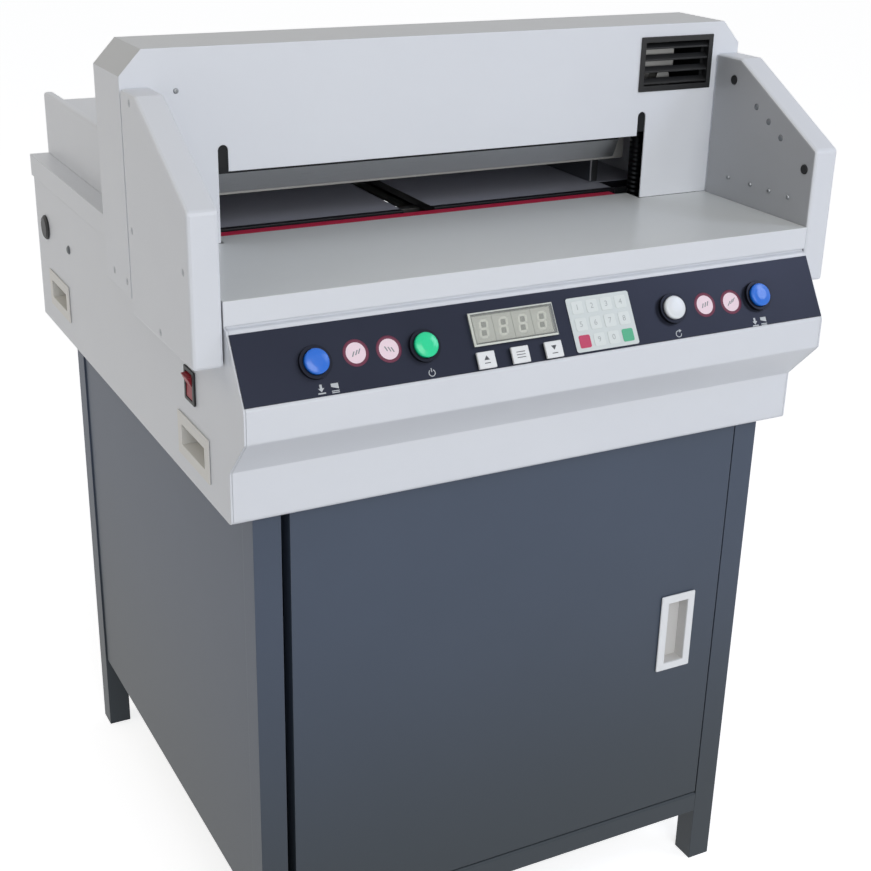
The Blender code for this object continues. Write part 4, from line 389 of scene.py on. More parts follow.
# polished caps of the push buttons: a clean highlight over a deep colour
blue_cap = polished_plastic("blue_button_cap", "#0C6EDC", edge_radius=CROWN_RADIUS)
green_cap = polished_plastic("green_button_cap", "#00DE9A", edge_radius=CROWN_RADIUS)
white_cap = polished_plastic("white_button_cap", "#E4E8EC", edge_radius=CROWN_RADIUS)
# red ABS of the mains rocker, dulled by fingers
red_rocker = etched_plastic("red_etched_abs", "#8E0C20", 0.46)
print("eight plastics, their etching drawn", round(1000 / ETCHING_SCALE, 1), "mm wide")

# %% [markdown]
# ## The cutting stick
#
# The knife ends its stroke in a square bar of soft plastic that lies in the table's groove. It is extruded,
# so it has faint lines along its length, which are drawn about 1 mm apart to show, and it is dull red all
# through, so that a notched face can be turned down and a fresh one used.

# %% Extruded stick plastic
red_stick, tree, shader, place = material("red_extruded_stick", IOR=1.46, Roughness=0.52)
drawn = add(tree, "ShaderNodeMapping", {"Vector": place, "Scale": (6.0, 900.0, 900.0)})
lines = add(tree, "ShaderNodeTexNoise", {"Vector": drawn.outputs[0], "Scale": 1.0, "Detail": 2.0})
tone = add(tree, "ShaderNodeMix", {0: lines.outputs["Fac"], 6: linear("#D62A52"), 7: linear("#BE1E44")},
           data_type="RGBA")
ridged = add(tree, "ShaderNodeBump", {"Height": lines.outputs["Fac"], "Strength": 0.2, "Distance": FINE})
tree.links.new(tone.outputs[2], shader.inputs["Base Color"])
tree.links.new(ridged.outputs[0], shader.inputs["Normal"])
print("the stick's lines lie", round(1000 / 900, 1), "mm apart")

# %% [markdown]
# ## Bare metal
#
# The knife, fence and guide are ground, so fine parallel lines run along them. The carrier, clamp and shafts
# are milled or turned. The frame behind is rolled plate, blackened and oiled. All are real metals to the
# shader, with their colour as the tint of what they reflect, and the grinding lines as a bump stretched along
# the grain. Real grinding lines lie a few hundredths of a millimetre apart, too fine for this picture, so they
# are drawn about 0.5 mm apart, and the grain of a casting about 1.1 mm wide.

# %% Ground, milled and cast metal
def ground_metal(name, colour, roughness, grain, strength=0.25, zones=()):
    """Lines of about 0.5 mm across the grain; grain is the scale along X, Y and Z, low along the lines."""
    made, tree, shader, place = material(name, Base_Color=linear(colour), Metallic=1.0)
    if zones:
        tree.links.new(zoned(tree, place, linear(colour), zones), shader.inputs["Base Color"])
    drawn = add(tree, "ShaderNodeMapping", {"Vector": place, "Scale": grain})
    lines = add(tree, "ShaderNodeTexNoise", {"Vector": drawn.outputs[0], "Scale": 1.0, "Detail": 3.0})
    grained(tree, shader, lines.outputs["Fac"], roughness, 0.07, lines.outputs["Fac"], strength)
    return made


KNIFE_BEVEL, SHADE_BAND = 0.020, 0.07   # heights: the bevel, and the painted shade, more than the rest of the blade
bevel_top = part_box("knife_blade")[0][2] + KNIFE_BEVEL

# knife and fence, ground along their length; above its bevel the knife is near black, painted shade under
# the hood's lip
ground_steel = ground_metal("ground_tool_steel", "#A6A8AB", 0.30, (12.0, 1900.0, 1900.0),
                            zones=[("Z", bevel_top, bevel_top + SHADE_BAND, "#2B2C2E")])
# the side guide, ground too, but duller from the stacks that are knocked square against it
guide_steel = ground_metal("ground_guide_steel", "#84868A", 0.34, (1900.0, 12.0, 1900.0))
# carrier, clamp and rails, milled: greyer and blunter
milled_steel = ground_metal("milled_steel", "#8C8C8A", 0.38, (300.0, 2100.0, 900.0), 0.35)
# gear housings and carriage, die-cast: dull, with a grain in all directions
cast_alloy = ground_metal("die_cast_alloy", "#A3A6A9", 0.50, (900.0, 900.0, 900.0), 0.4)
print("the knife's bevel ends", round(bevel_top, 4), "m above the floor")

# %% [markdown]
# ### Oiled plate
#
# Frames and beam are cut from rolled plate and only oiled. The oil lies in clouds about 45 mm wide, which make
# the nearly black plate now a little glossier, now a little greyer. It needs no grain, because the skin of
# rolled plate hides it.

# %% Blackened plate under oil
oiled_plate, tree, shader, place = material("oiled_black_plate", Metallic=0.6)
bloom = add(tree, "ShaderNodeTexNoise", {"Vector": place, "Scale": 22.0, "Detail": 5.0})
tone = add(tree, "ShaderNodeMix", {0: bloom.outputs["Fac"], 6: linear("#141517"), 7: linear("#202224")},
           data_type="RGBA")
polish = add(tree, "ShaderNodeMapRange", {"Value": bloom.outputs["Fac"], "To Min": 0.42, "To Max": 0.6})
tree.links.new(tone.outputs[2], shader.inputs["Base Color"])
tree.links.new(polish.outputs[0], shader.inputs["Roughness"])
print(oiled_plate.name, "has", len(tree.nodes), "nodes")

# %% [markdown]
# ## Threaded shafts
#
# The three drive screws are smooth rods in the CAD model. A thread is a ramp that climbs one pitch per turn,
# so the angle round the shaft plus the distance along it, counted in pitches, gives its phase. The fractional
# part of that sum, folded into a tooth shape, is the height for a bump. The knife's screw, which can be seen
# in the throat, is blackened against rust, the clamp's is bright, and the gauge's is darker.

# %% Rolled threads
THREAD_PITCH = 0.005


def middle(node):
    """The middle of a CAD part's box."""
    low, high = (Vector(corner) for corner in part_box(node))
    return (low + high) / 2


def threaded_steel(name, colour, node, axis):
    """The finish of a shaft along an axis, which is 0, 1 or 2."""
    made, tree, shader, place = material(name, Base_Color=linear(colour), Metallic=1.0, Roughness=0.42)
    split = add(tree, "ShaderNodeSeparateXYZ", {0: place})
    sides = [add(tree, "ShaderNodeMath", {0: split.outputs[i], 1: middle(node)[i]}, operation="SUBTRACT")
             for i in range(3) if i != axis]
    angle = add(tree, "ShaderNodeMath", {0: sides[1].outputs[0], 1: sides[0].outputs[0]},
                operation="ARCTAN2")
    turns = add(tree, "ShaderNodeMath", {0: angle.outputs[0], 1: 2 * math.pi}, operation="DIVIDE")
    along = add(tree, "ShaderNodeMath", {0: split.outputs[axis], 1: THREAD_PITCH}, operation="DIVIDE")
    phase = add(tree, "ShaderNodeMath", {0: turns.outputs[0], 1: along.outputs[0]}, operation="ADD")
    tooth = add(tree, "ShaderNodeMath", {0: phase.outputs[0], 1: 0.5}, operation="PINGPONG")
    bumped = add(tree, "ShaderNodeBump", {"Height": tooth.outputs[0], "Strength": 1.0,
                                          "Distance": THREAD_PITCH / 3})
    tree.links.new(bumped.outputs[0], shader.inputs["Normal"])
    return made


knife_thread = threaded_steel("blackened_screw_thread", "#2C2E30", "knife_spindle", 2)
clamp_thread = threaded_steel("clamp_screw_thread", "#85888B", "clamp_screw", 2)
gauge_thread = threaded_steel("gauge_screw_thread", "#5C5F62", "gauge_screw", 1)
print("three threads with a pitch of", 1000 * THREAD_PITCH, "mm")

# %% [markdown]
# ## The console's own axes
#
# The control plate lies on a slope, and everything printed on it is laid out flat: u runs along the machine,
# s up the slope, and the third axis stands out of the plate. One matrix takes that flat drawing to its place.

# %% From the flat drawing to the slope
UP_SLOPE = Vector((0, 0.520934, 0.853595))
OUTWARD = Vector((0, -0.853595, 0.520934))
NOSE_HEIGHT = 0.6932   # the fold where the slope starts
PLATE_FACE = 0.0015    # the plate's face above the folded sheet

nose = Vector((0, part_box("front_skin")[0][1], NOSE_HEIGHT))
console = turned((1, 0, 0), UP_SLOPE, OUTWARD, nose + PLATE_FACE * OUTWARD)
print("the plate's slope is", round(math.degrees(math.asin(UP_SLOPE.z)), 1), "degrees")

# %% [markdown]
# ## The control plate and the display cover
#
# The plate is a very dark blue film over metal, silky rather than glossy, and the bezels that stand out of it
# are black: how far a point lies out of the slope tells the two apart. A haze in clouds about 70 mm wide
# varies the film's tone and gloss, and its own grain, 0.4 mm, keeps its reflections soft. The display lies
# under a clear acrylic cap. A thin clear piece looks best here as a part-transparent surface: real refraction
# would only darken the small space under it.

# %% Film and acrylic
BEZEL_FROM = 0.0007   # what stands further out of the plate's face is a bezel

dark_film, tree, shader, place = material("dark_control_film", IOR=1.4, Specular_Tint=linear("#BFC8EC"))
haze = add(tree, "ShaderNodeTexNoise", {"Vector": place, "Scale": 14.0, "Detail": 3.0})
tone = add(tree, "ShaderNodeMix", {0: haze.outputs["Fac"], 6: linear("#181A23"), 7: linear("#20232D")},
           data_type="RGBA")
out = add(tree, "ShaderNodeVectorMath", {0: place, 1: OUTWARD}, operation="DOT_PRODUCT")
bezel = add(tree, "ShaderNodeMath", {0: out.outputs["Value"],
                                     1: console.translation.dot(OUTWARD) + BEZEL_FROM},
            operation="GREATER_THAN")
tone = add(tree, "ShaderNodeMix", {0: bezel.outputs[0], 6: tone.outputs[2], 7: linear("#060608")},
           data_type="RGBA")
grain = add(tree, "ShaderNodeTexNoise", {"Vector": place, "Scale": 2500.0, "Detail": 1.0})
tree.links.new(tone.outputs[2], shader.inputs["Base Color"])
grained(tree, shader, haze.outputs["Fac"], 0.37, 0.07, grain.outputs["Fac"], 0.08, edge_radius=0.0006)

clear_acrylic, tree, shader, _ = material("clear_acrylic_cap", Base_Color=linear("#E2E5DC"), IOR=1.49,
                                          Roughness=0.08, Alpha=0.2)
rounded = add(tree, "ShaderNodeBevel", {"Radius": 0.0006}, samples=6)
tree.links.new(rounded.outputs[0], shader.inputs["Normal"])
print(dark_film.name, "and", clear_acrylic.name)

# %% [markdown]
# ## Every CAD part gets its finish
#
# The table below pairs each finish with the parts that carry it. A CAD part keeps its mesh; only the material
# in its slots changes.

# %% Assign the finishes
finishes = {
    white_coat: "base_tray side_wall_left side_wall_right front_skin rear_cover",
    hood_coat: "hood",
    guard_coat: "cheek_left cheek_right",
    slate_coat: "post_front_left post_front_right post_rear_left post_rear_right side_panel_left "
                "side_panel_right back_panel floor_pan door",
    table_coat: "work_table",
    rear_coat: "rear_table",
    black_abs: "side_plug rocker_frame hood_louvre sensors_left sensors_right",
    white_abs: "key_down key_middle key_up",
    pull_abs: "door_handle",
    cream_abs: "grip_left_front grip_left_rear grip_right_front grip_right_rear",
    blue_cap: "button_blue_left button_blue_right",
    green_cap: "button_green",
    white_cap: "button_white",
    red_rocker: "rocker",
    red_stick: "cutting_stick",
    dark_film: "control_panel",
    clear_acrylic: "display_window",
    ground_steel: "knife_blade back_gauge",
    guide_steel: "side_guide",
    milled_steel: "knife_carrier knife_nut clamp_beam clamp_yoke gauge_rails door_pin_upper door_pin_lower",
    cast_alloy: "knife_gearmotor clamp_gearmotor gauge_carriage",
    oiled_plate: "side_frame_left side_frame_right cross_beam gauge_motor",
    knife_thread: "knife_spindle",
    clamp_thread: "clamp_screw",
    gauge_thread: "gauge_screw",
}
dressed = set()
for finish, names in finishes.items():
    for name in names.split():
        for slot in parts[name].material_slots:
            slot.material = finish
        dressed.add(name)
print(len(dressed), "parts dressed, left plain:", sorted(set(parts) - dressed))

# %% [markdown]
# ## Placing a piece
#
# Everything from here on is a small thing that the CAD model leaves out. Each is a mesh that already lies in
# its place, with its object at the origin, so that it moves with its body just as a CAD part does. Flat
# printed shapes are thin slabs, drawn as outlines.

# %% Put a mesh on a body
def piece(name, mesh, finish, body="stand"):
    """A named object with one finish, which rides on its body."""
    made = bpy.data.objects.new(name, mesh)
    mesh.materials.clear()
    mesh.materials.append(finish)
    bpy.context.scene.collection.objects.link(made)
    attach(made, body)
    print(name, "on", body, "with", len(mesh.polygons), "faces")


# %% Flat shapes as slabs
def mesh_of(form, name, place):
    """A finished bmesh, put in its place, as a mesh."""
    form.transform(place)
    mesh = bpy.data.meshes.new(name)
    form.to_mesh(mesh)
    form.free()
    return mesh


def slabs(outlines, low, high, place):
    """Flat shapes, each a list of (x, y) corners running left round, as thin closed slabs put in place."""
    form = bmesh.new()
    for outline in outlines:
        under = [form.verts.new((x, y, low)) for x, y in outline]
        over = [form.verts.new((x, y, high)) for x, y in outline]
        form.faces.new(over)
        form.faces.new(under[::-1])
        for i in range(len(outline)):
            j = (i + 1) % len(outline)
            form.faces.new((under[i], under[j], over[j], over[i]))
    return mesh_of(form, "slabs", place)


def bar(x, y, width, height):
    """The outline of a rectangle round a middle."""
    return [(x + i * width / 2, y + j * height / 2) for i, j in CORNERS]


# %% [markdown]
# ## Printing inks
#
# Legends are silk-screened. The ink is a matt film a few hundredths of a millimetre thick, and the screen's
# mesh leaves it slightly uneven. The mesh is far too fine to see here, so the unevenness is drawn 1 mm wide.

# %% Inks
INK = 0.00008   # the thickness of a print


def screen_ink(name, colour, thinner, roughness=0.5):
    """A print whose tone goes over to a second one where the ink lies thinner."""
    made, tree, shader, place = material(name, Roughness=roughness, IOR=1.48)
    laid = add(tree, "ShaderNodeTexNoise", {"Vector": place, "Scale": 1000.0, "Detail": 2.0})
    tone = add(tree, "ShaderNodeMix", {0: laid.outputs["Fac"], 6: linear(colour), 7: linear(thinner)},
               data_type="RGBA")
    bumped = add(tree, "ShaderNodeBump", {"Height": laid.outputs["Fac"], "Strength": 0.1,
                                          "Distance": FINE})
    tree.links.new(tone.outputs[2], shader.inputs["Base Color"])
    tree.links.new(bumped.outputs[0], shader.inputs["Normal"])
    return made


# off-white of the plate's signs, and a pale pink and a wine red for the discs and their rims
white_ink = screen_ink("white_screen_ink", "#C9CDD0", "#B7BCC0")
pink_ink = screen_ink("pale_pink_screen_ink", "#F1D5E0", "#F3E1E8")
wine_ink = screen_ink("wine_red_screen_ink", "#5E1E38", "#722A46")
# soft greys for the strokes on the discs and the pad's digits, and charcoal for the legends of the white keys
grey_ink = screen_ink("grey_screen_ink", "#8C8F92", "#7E8285")
pale_ink = screen_ink("pale_grey_screen_ink", "#B3B8B8", "#A8AEAE")
dark_ink = screen_ink("charcoal_screen_ink", "#3A3D41", "#484B50")
print("six inks,", 1000 * INK, "mm thick")

# %% [markdown]
# ## Geometry Nodes for what repeats
#
# Pads, segments, rings, lenses and screws are each one shape on many points. A tree gets the points, its
# named sizes and its finish, builds the shape once, and puts a copy on every point. The copies are then made
# real, because a model file has no instances, and the result becomes a plain mesh.

# %% Start and end a tree
def shape_tree(name, sizes):
    """An empty tree whose inputs are the points, its sizes by name, and the finish."""
    tree = bpy.data.node_groups.new(name, "GeometryNodeTree")
    tree.interface.new_socket("Geometry", in_out="INPUT", socket_type="NodeSocketGeometry")
    for label in sizes:
        tree.interface.new_socket(label, in_out="INPUT", socket_type="NodeSocketFloat")
    tree.interface.new_socket("Finish", in_out="INPUT", socket_type="NodeSocketMaterial")
    tree.interface.new_socket("Geometry", in_out="OUTPUT", socket_type="NodeSocketGeometry")
    return tree, add(tree, "NodeGroupInput").outputs


def on_points(tree, given, shape, turn):
    """The end of every tree: the shape on each point, made real, with its finish."""
    placed = add(tree, "GeometryNodeInstanceOnPoints", {"Points": given["Geometry"], "Instance": shape,
                                                        "Rotation": turn})
    real = add(tree, "GeometryNodeRealizeInstances", {"Geometry": placed.outputs["Instances"]})
    coated = add(tree, "GeometryNodeSetMaterial", {"Geometry": real.outputs[0],
                                                   "Material": given["Finish"]})
    add(tree, "NodeGroupOutput", {"Geometry": coated.outputs[0]})


# %% Run a tree
ALONG = (1, 0, 0)   # the way of a copy that lies along the machine


def grow(name, tree, spots, finish, sizes, place=Matrix.Identity(4)):
    """Run a tree on spots, each a point and the way its copy looks, as one plain piece on the stand."""
    seeds = bpy.data.meshes.new("seeds")
    seeds.from_pydata([tuple(point) for point, _ in spots], [], [])
    looks = seeds.attributes.new("way", "FLOAT_VECTOR", "POINT")
    for entry, (_, way) in zip(looks.data, spots):
        entry.vector = way
    carrier = bpy.data.objects.new("seeds", seeds)
    bpy.context.scene.collection.objects.link(carrier)
    modifier = carrier.modifiers.new("grow", "NODES")
    modifier.node_group = tree
    values = {**sizes, "Finish": finish}
    for socket in tree.interface.items_tree:
        if socket.in_out == "INPUT" and socket.name in values:
            modifier[socket.identifier] = values[socket.name]
    grown = carrier.evaluated_get(bpy.context.evaluated_depsgraph_get())
    mesh = bpy.data.meshes.new_from_object(grown)
    carrier.modifiers.clear()
    bpy.data.objects.remove(carrier)
    mesh.transform(place)
    piece(name, mesh, finish)


def lying(points):
    """Spots whose copies lie along the machine."""
    return [(point, ALONG) for point in points]


# %% [markdown]
# ## A rounded pad and a bar
#
# A key of the membrane pad is a rectangle with round corners. A segment of the display is the same shape, long
# and narrow, with its corners cut off straight. So one tree serves for both: a rectangle, a fillet with as
# many steps as asked, a filled face, and a small rise. The face turned over closes it below.

# %% The tree of pads and bars
WELD = 0.00001   # corners closer than this become one


def raised(tree, outline, rise):
    """A closed curve as a closed slab: its face lifted by the rise, and the same face turned over below."""
    face = add(tree, "GeometryNodeFillCurve", {"Curve": outline}, mode="NGONS").outputs[0]
    top = add(tree, "GeometryNodeExtrudeMesh", {"Mesh": face, "Offset Scale": rise, "Individual": False},
              mode="FACES")
    under = add(tree, "GeometryNodeFlipFaces", {"Mesh": face})
    both = add(tree, "GeometryNodeJoinGeometry", {"Geometry": [top.outputs["Mesh"], under.outputs[0]]})
    return add(tree, "GeometryNodeMergeByDistance", {"Geometry": both.outputs[0],
                                                     "Distance": WELD}).outputs[0]


def pad_tree(name, corner_steps):
    """Rectangles with rounded corners that lie flat and turn to the way of their point."""
    tree, given = shape_tree(name, ("Width", "Height", "Corner", "Rise"))
    outline = add(tree, "GeometryNodeCurvePrimitiveQuadrilateral", {"Width": given["Width"],
                                                                    "Height": given["Height"]})
    rounded = add(tree, "GeometryNodeFilletCurve", {"Curve": outline.outputs[0], "Count": corner_steps,
                                                    "Radius": given["Corner"], "Limit Radius": True},
                  mode="POLY")
    way = add(tree, "GeometryNodeInputNamedAttribute", {"Name": "way"}, data_type="FLOAT_VECTOR")
    turn = add(tree, "FunctionNodeAlignRotationToVector", {"Vector": way.outputs["Attribute"]}, axis="X",
               pivot_axis="Z")
    on_points(tree, given, raised(tree, rounded.outputs[0], given["Rise"]), turn.outputs[0])
    return tree


rounded_pad = pad_tree("rounded_pad", 5)
pointed_bar = pad_tree("pointed_bar", 1)
print(rounded_pad.name, "and", pointed_bar.name, "of", len(rounded_pad.nodes), "nodes each")

# %% [markdown]
# ## The membrane keypad
#
# A polyester overlay with embossed pads, ten digits between a red and a green pad at the lower corners. The
# pads stand only a few tenths of a millimetre proud, which is why they hardly show in the photograph.

# %% Keypad
# satin polyester, a little green, with paler pads that look smoother where fingers press
keypad_film = etched_plastic("embossed_polyester_film", "#D3DAD9", 0.36)
pad_film = etched_plastic("embossed_pad_film", "#DCE2E0", 0.30)
# two pads printed from behind, so that their colour looks deep and even
red_pad = screen_ink("red_pad_print", "#BC2E58", "#C23C60", 0.35)
green_pad = screen_ink("green_pad_print", "#45AC80", "#55B48B", 0.35)

KEYPAD_CENTRE, KEYPAD_SIZE, KEYPAD_CORNER = Vector((0.0525, 0.0308, 0)), (0.0696, 0.0521), 0.0025
PAD_PITCH, PAD_SIDE, PAD_CORNER, PAD_RISE = (0.0160, 0.0163), 0.0122, 0.0018, 0.0004
FILM_TOP = 0.0008   # the film lies on the plate's raised field

grow("keypad_film", rounded_pad, lying([KEYPAD_CENTRE]), keypad_film,
     {"Width": KEYPAD_SIZE[0], "Height": KEYPAD_SIZE[1], "Corner": KEYPAD_CORNER, "Rise": FILM_TOP}, console)

pads = [KEYPAD_CENTRE + Vector((column * PAD_PITCH[0], row * PAD_PITCH[1], FILM_TOP))
        for row in (1, 0, -1) for column in (-1.5, -0.5, 0.5, 1.5)]
digit_pads = pads[:8] + pads[9:11]   # the corners of the last row are the red and the green pad
for name, points, finish, slot in (("keypad_pads", digit_pads, pad_film, "white_plastic"),
                                   ("keypad_red_pad", pads[8:9], red_pad, "red_plastic"),
                                   ("keypad_green_pad", pads[11:], green_pad, "green_button")):
    grow(name, rounded_pad, lying(points), finish,
         {"Width": PAD_SIDE, "Height": PAD_SIDE, "Corner": PAD_CORNER, "Rise": PAD_RISE}, console)

# %% [markdown]
# ### Digits
#
# Each pad but the coloured two has a digit in pale ink. Digits could be drawn on an image, but that would need
# a picture file and would blur close up. A text object turned into a mesh stays sharp, and all ten become one
# piece.

# %% Digits of the keypad
DIGIT_SIZE = 0.0075


def figures(texts, places, size, rise, place):
    """Short texts, centred on their places, as one mesh."""
    form = bmesh.new()
    for text, centre in zip(texts, places):
        curve = bpy.data.curves.new("figure", "FONT")
        curve.body, curve.size, curve.extrude = text, size, rise / 2
        curve.align_x, curve.align_y, curve.resolution_u = "CENTER", "CENTER", 3
        holder = bpy.data.objects.new("figure", curve)
        shape = bpy.data.meshes.new_from_object(holder)
        shape.transform(Matrix.Translation(centre + Vector((0, 0, rise / 2))))
        form.from_mesh(shape)
        bpy.data.objects.remove(holder)
    return mesh_of(form, "figures", place)


digit_places = [pad + Vector((0, 0, PAD_RISE)) for pad in digit_pads]
piece("keypad_digits", figures("1234567890", digit_places, DIGIT_SIZE, INK, console), pale_ink)

# %% [markdown]
# ## The display
#
# Four seven-segment modules stand side by side under the clear cap. They are off in the photograph, so their
# segments are a little paler than their grey faces. Each segment is a bar with pointed ends, and the digits
# lean to the right by 8 degrees.

# %% Display modules
# warm grey faces, darker wells between the segments, and pale resin that fills each segment
module_face = etched_plastic("display_module_face", "#B4B5AC", 0.42)
module_well = etched_plastic("display_module_well", "#62635D", 0.42)
segment_resin = etched_plastic("display_segment_resin", "#DEDDD4", 0.36)

DISPLAY_CENTRE = Vector((middle("display_window").x, 0.0400, 0))
MODULE_PITCH, MODULE_SIZE, MODULE_CORNER, MODULE_RISE = 0.0203, (0.0198, 0.0242), 0.0004, 0.0026

modules = [DISPLAY_CENTRE + Vector(((i - 1.5) * MODULE_PITCH, 0, 0)) for i in range(4)]
grow("display_modules", rounded_pad, lying(modules), module_face,
     {"Width": MODULE_SIZE[0], "Height": MODULE_SIZE[1], "Corner": MODULE_CORNER, "Rise": MODULE_RISE},
     console)

# %% [markdown]
# ### Segments
#
# Seven bars make a digit: three lie, and four stand and lean. The two squares that they enclose are moulded
# darker. The pads' tree makes the bars too: with one straight step at each corner, and a corner as large as
# half a bar's width, the ends come out pointed.

# %% Segments and the wells between them
SEGMENT, SEGMENT_WIDTH = 0.0076, 0.0021
SEGMENT_GAP, WELL_GAP = 0.0004, 0.0006   # between two segments' ends, and round a well
SEGMENT_RISE, WELL_CORNER = 0.00012, 0.0012
LEAN = math.tan(math.radians(8))

segments, wells = [], []
for spot in modules:
    for level in (-1, 0, 1):
        segments.append((spot + Vector((level * SEGMENT * LEAN, level * SEGMENT, MODULE_RISE)), ALONG))
    for level in (-0.5, 0.5):
        well = spot + Vector((level * SEGMENT * LEAN, level * SEGMENT, MODULE_RISE))
        wells.append(well)
        for side in (-1, 1):
            segments.append((well + Vector((side * SEGMENT / 2, 0, 0)), (LEAN, 1, 0)))
grow("display_segments", pointed_bar, segments, segment_resin,
     {"Width": SEGMENT - SEGMENT_GAP, "Height": SEGMENT_WIDTH, "Corner": SEGMENT_WIDTH / 2,
      "Rise": SEGMENT_RISE}, console)
well_size = SEGMENT - SEGMENT_WIDTH - WELL_GAP
grow("display_wells", rounded_pad, lying(wells), module_well,
     {"Width": well_size, "Height": well_size, "Corner": WELL_CORNER, "Rise": INK}, console)

# %% [markdown]
# ### Painted highlight on the cap's edge
#
# The chamfer round a clear acrylic cap is what one sees of it: it catches the light as a pale line. The cap's
# own material is nearly invisible there, so a thin pale glossy film over the chamfer is a painted highlight. It
# is built ring by ring, since a modifier on the CAD part would change its shape.

# %% A painted highlight round the cap
CAP_SIZE, CAP_RISE, CAP_CHAMFER = (0.0885, 0.0310), 0.0050, 0.0015
TUCK = 0.0001   # how far the film's under side lies inside the cap


def chamfer_frame(centre, width, height, section, place):
    """A closed strip round a rectangle: each corner of its section is given by its inset and its rise."""
    form = bmesh.new()
    rings = []
    for inset, rise in section:
        x, y = width / 2 - inset, height / 2 - inset
        rings.append([form.verts.new(centre + Vector((i * x, j * y, rise))) for i, j in CORNERS])
    for ring, following in zip(rings, rings[1:] + rings[:1]):
        for i in range(4):
            j = (i + 1) % 4
            form.faces.new((ring[i], ring[j], following[j], following[i]))
    bmesh.ops.recalc_face_normals(form, faces=form.faces[:])
    return mesh_of(form, "chamfer_frame", place)


# a painted-highlight film over the chamfer: its foot, its under side just inside the cap, and its outer side back
# down
cap_edge_highlight = screen_ink("painted_highlight_acrylic_edge", "#EEF1E9", "#E0E4DB", 0.2)
edge_section = [(TUCK, CAP_RISE - CAP_CHAMFER), (CAP_CHAMFER - TUCK, CAP_RISE - TUCK),
                (CAP_CHAMFER, CAP_RISE + INK), (CAP_CHAMFER - 2 * INK, CAP_RISE + INK),
                (0.0, CAP_RISE - CAP_CHAMFER + INK)]
piece("display_cap_edge", chamfer_frame(DISPLAY_CENTRE, *CAP_SIZE, edge_section, console), cap_edge_highlight)

# %% [markdown]
# ## Legends on the keys and the plate
#
# The three keys under the display carry an arrow up, three lines and an arrow down. On the plate, small signs
# tell the buttons apart: two for the two-handed cut, one for power and one for reset. All could be pictures
# laid on the surface, but thin slabs stay sharp at any distance. They are plain drawings in millimetres, with
# a hair's thickness.

# %% Key legends
MM = 0.001
KEY_TOP = 0.0045   # the caps above the plate
KEY_S = 0.0115     # their middles up the slope


def printed(drawing, u, s):
    """A drawing in millimetres at its place on the plate, in metres."""
    return [[(u + x * MM, s + y * MM) for x, y in shape] for shape in drawing]


arrow = [(-2.8, -0.2), (2.8, -0.2), (0.0, 4.0)]
for body, drawing in (("key_up", [arrow, bar(0, -3.0, 6.0, 0.8)]),
                      ("key_middle", [bar(0, y, 9.0, 0.7) for y in (2.6, 0, -2.6)]),
                      ("key_down", [[(x, 3.4 - y) for x, y in reversed(arrow)], bar(0, -3.6, 6.0, 0.8)])):
    shapes = printed(drawing, middle(body).x, KEY_S)
    piece(f"{body}_legend", slabs(shapes, KEY_TOP, KEY_TOP + INK, console), dark_ink, body)

# %% [markdown]
# ### Signs on the plate
#
# An arrow that presses on a bar stands below each blue button, beside the outline of a blade above a pile.
# Below the green button is power, a broken ring with a stroke, and below the white one is reset, a broken ring
# with an arrow's head. Straight shapes are lists of corners, and a ring is a chain of four-sided pieces, which
# is simpler than to fill a curve with a hole.

# %% Signs in white ink
def arc(radius, width, start):
    """A stroke round five sixths of a circle, from a start in degrees, as short four-sided shapes."""
    steps = [math.radians(start + 300 * i / 20) for i in range(21)]
    outer = radius + width
    rays = [(math.cos(a), math.sin(a)) for a in steps]
    return [[(p[0] * radius, p[1] * radius), (p[0] * outer, p[1] * outer),
             (q[0] * outer, q[1] * outer), (q[0] * radius, q[1] * radius)] for p, q in zip(rays, rays[1:])]


press_sign = [[(-1.1, 4.2), (-1.1, 0.8), (-2.8, 0.8), (0, -2.4), (2.8, 0.8), (1.1, 0.8), (1.1, 4.2)],
              bar(0, -3.6, 7.0, 1.2)]
knife_sign = [[(-3.4, 4.0), (-3.4, 1.2), (3.4, -1.0), (3.4, 4.0)], bar(0, -2.6, 7.0, 0.8),
              bar(0, -4.0, 7.0, 0.8)]
power_sign = arc(2.6, 0.8, 120) + [bar(0, 2.6, 0.8, 3.6)]
reset_sign = arc(2.6, 0.8, 60) + [[(1.2, 4.6), (1.2, 1.2), (3.8, 2.9)]]

signs = []
for sign, u, s in ((press_sign, -0.2390, 0.0092), (knife_sign, -0.2262, 0.0088),
                   (power_sign, -0.1330, 0.0082), (reset_sign, 0.1340, 0.0078),
                   (press_sign, 0.2262, 0.0074), (knife_sign, 0.2368, 0.0072)):
    signs += printed(sign, u, s)
piece("plate_signs", slabs(signs, 0, INK, console), white_ink)

# %% [markdown]
# ## The ringed discs
#
# Four pale discs with a dark red rim stand between the push buttons, a pair on each side. The rim is a circle
# swept with a small rectangle, the disc a filled circle, each on the same four points. Three leaning strokes
# cross each disc.

# %% Discs and rims
def round_tree(name, ringed):
    """Discs, or where ringed is true, rings round their edge."""
    tree, given = shape_tree(name, ("Radius", "Width", "Rise"))
    ring = add(tree, "GeometryNodeCurvePrimitiveCircle", {"Resolution": 40, "Radius": given["Radius"]},
               mode="RADIUS").outputs[0]
    if ringed:
        section = add(tree, "GeometryNodeCurvePrimitiveQuadrilateral", {"Width": given["Width"],
                                                                        "Height": given["Rise"]})
        shape = add(tree, "GeometryNodeCurveToMesh", {"Curve": ring,
                                                      "Profile Curve": section.outputs[0]}).outputs[0]
    else:
        shape = raised(tree, ring, given["Rise"])
    on_points(tree, given, shape, (0, 0, 0))
    return tree


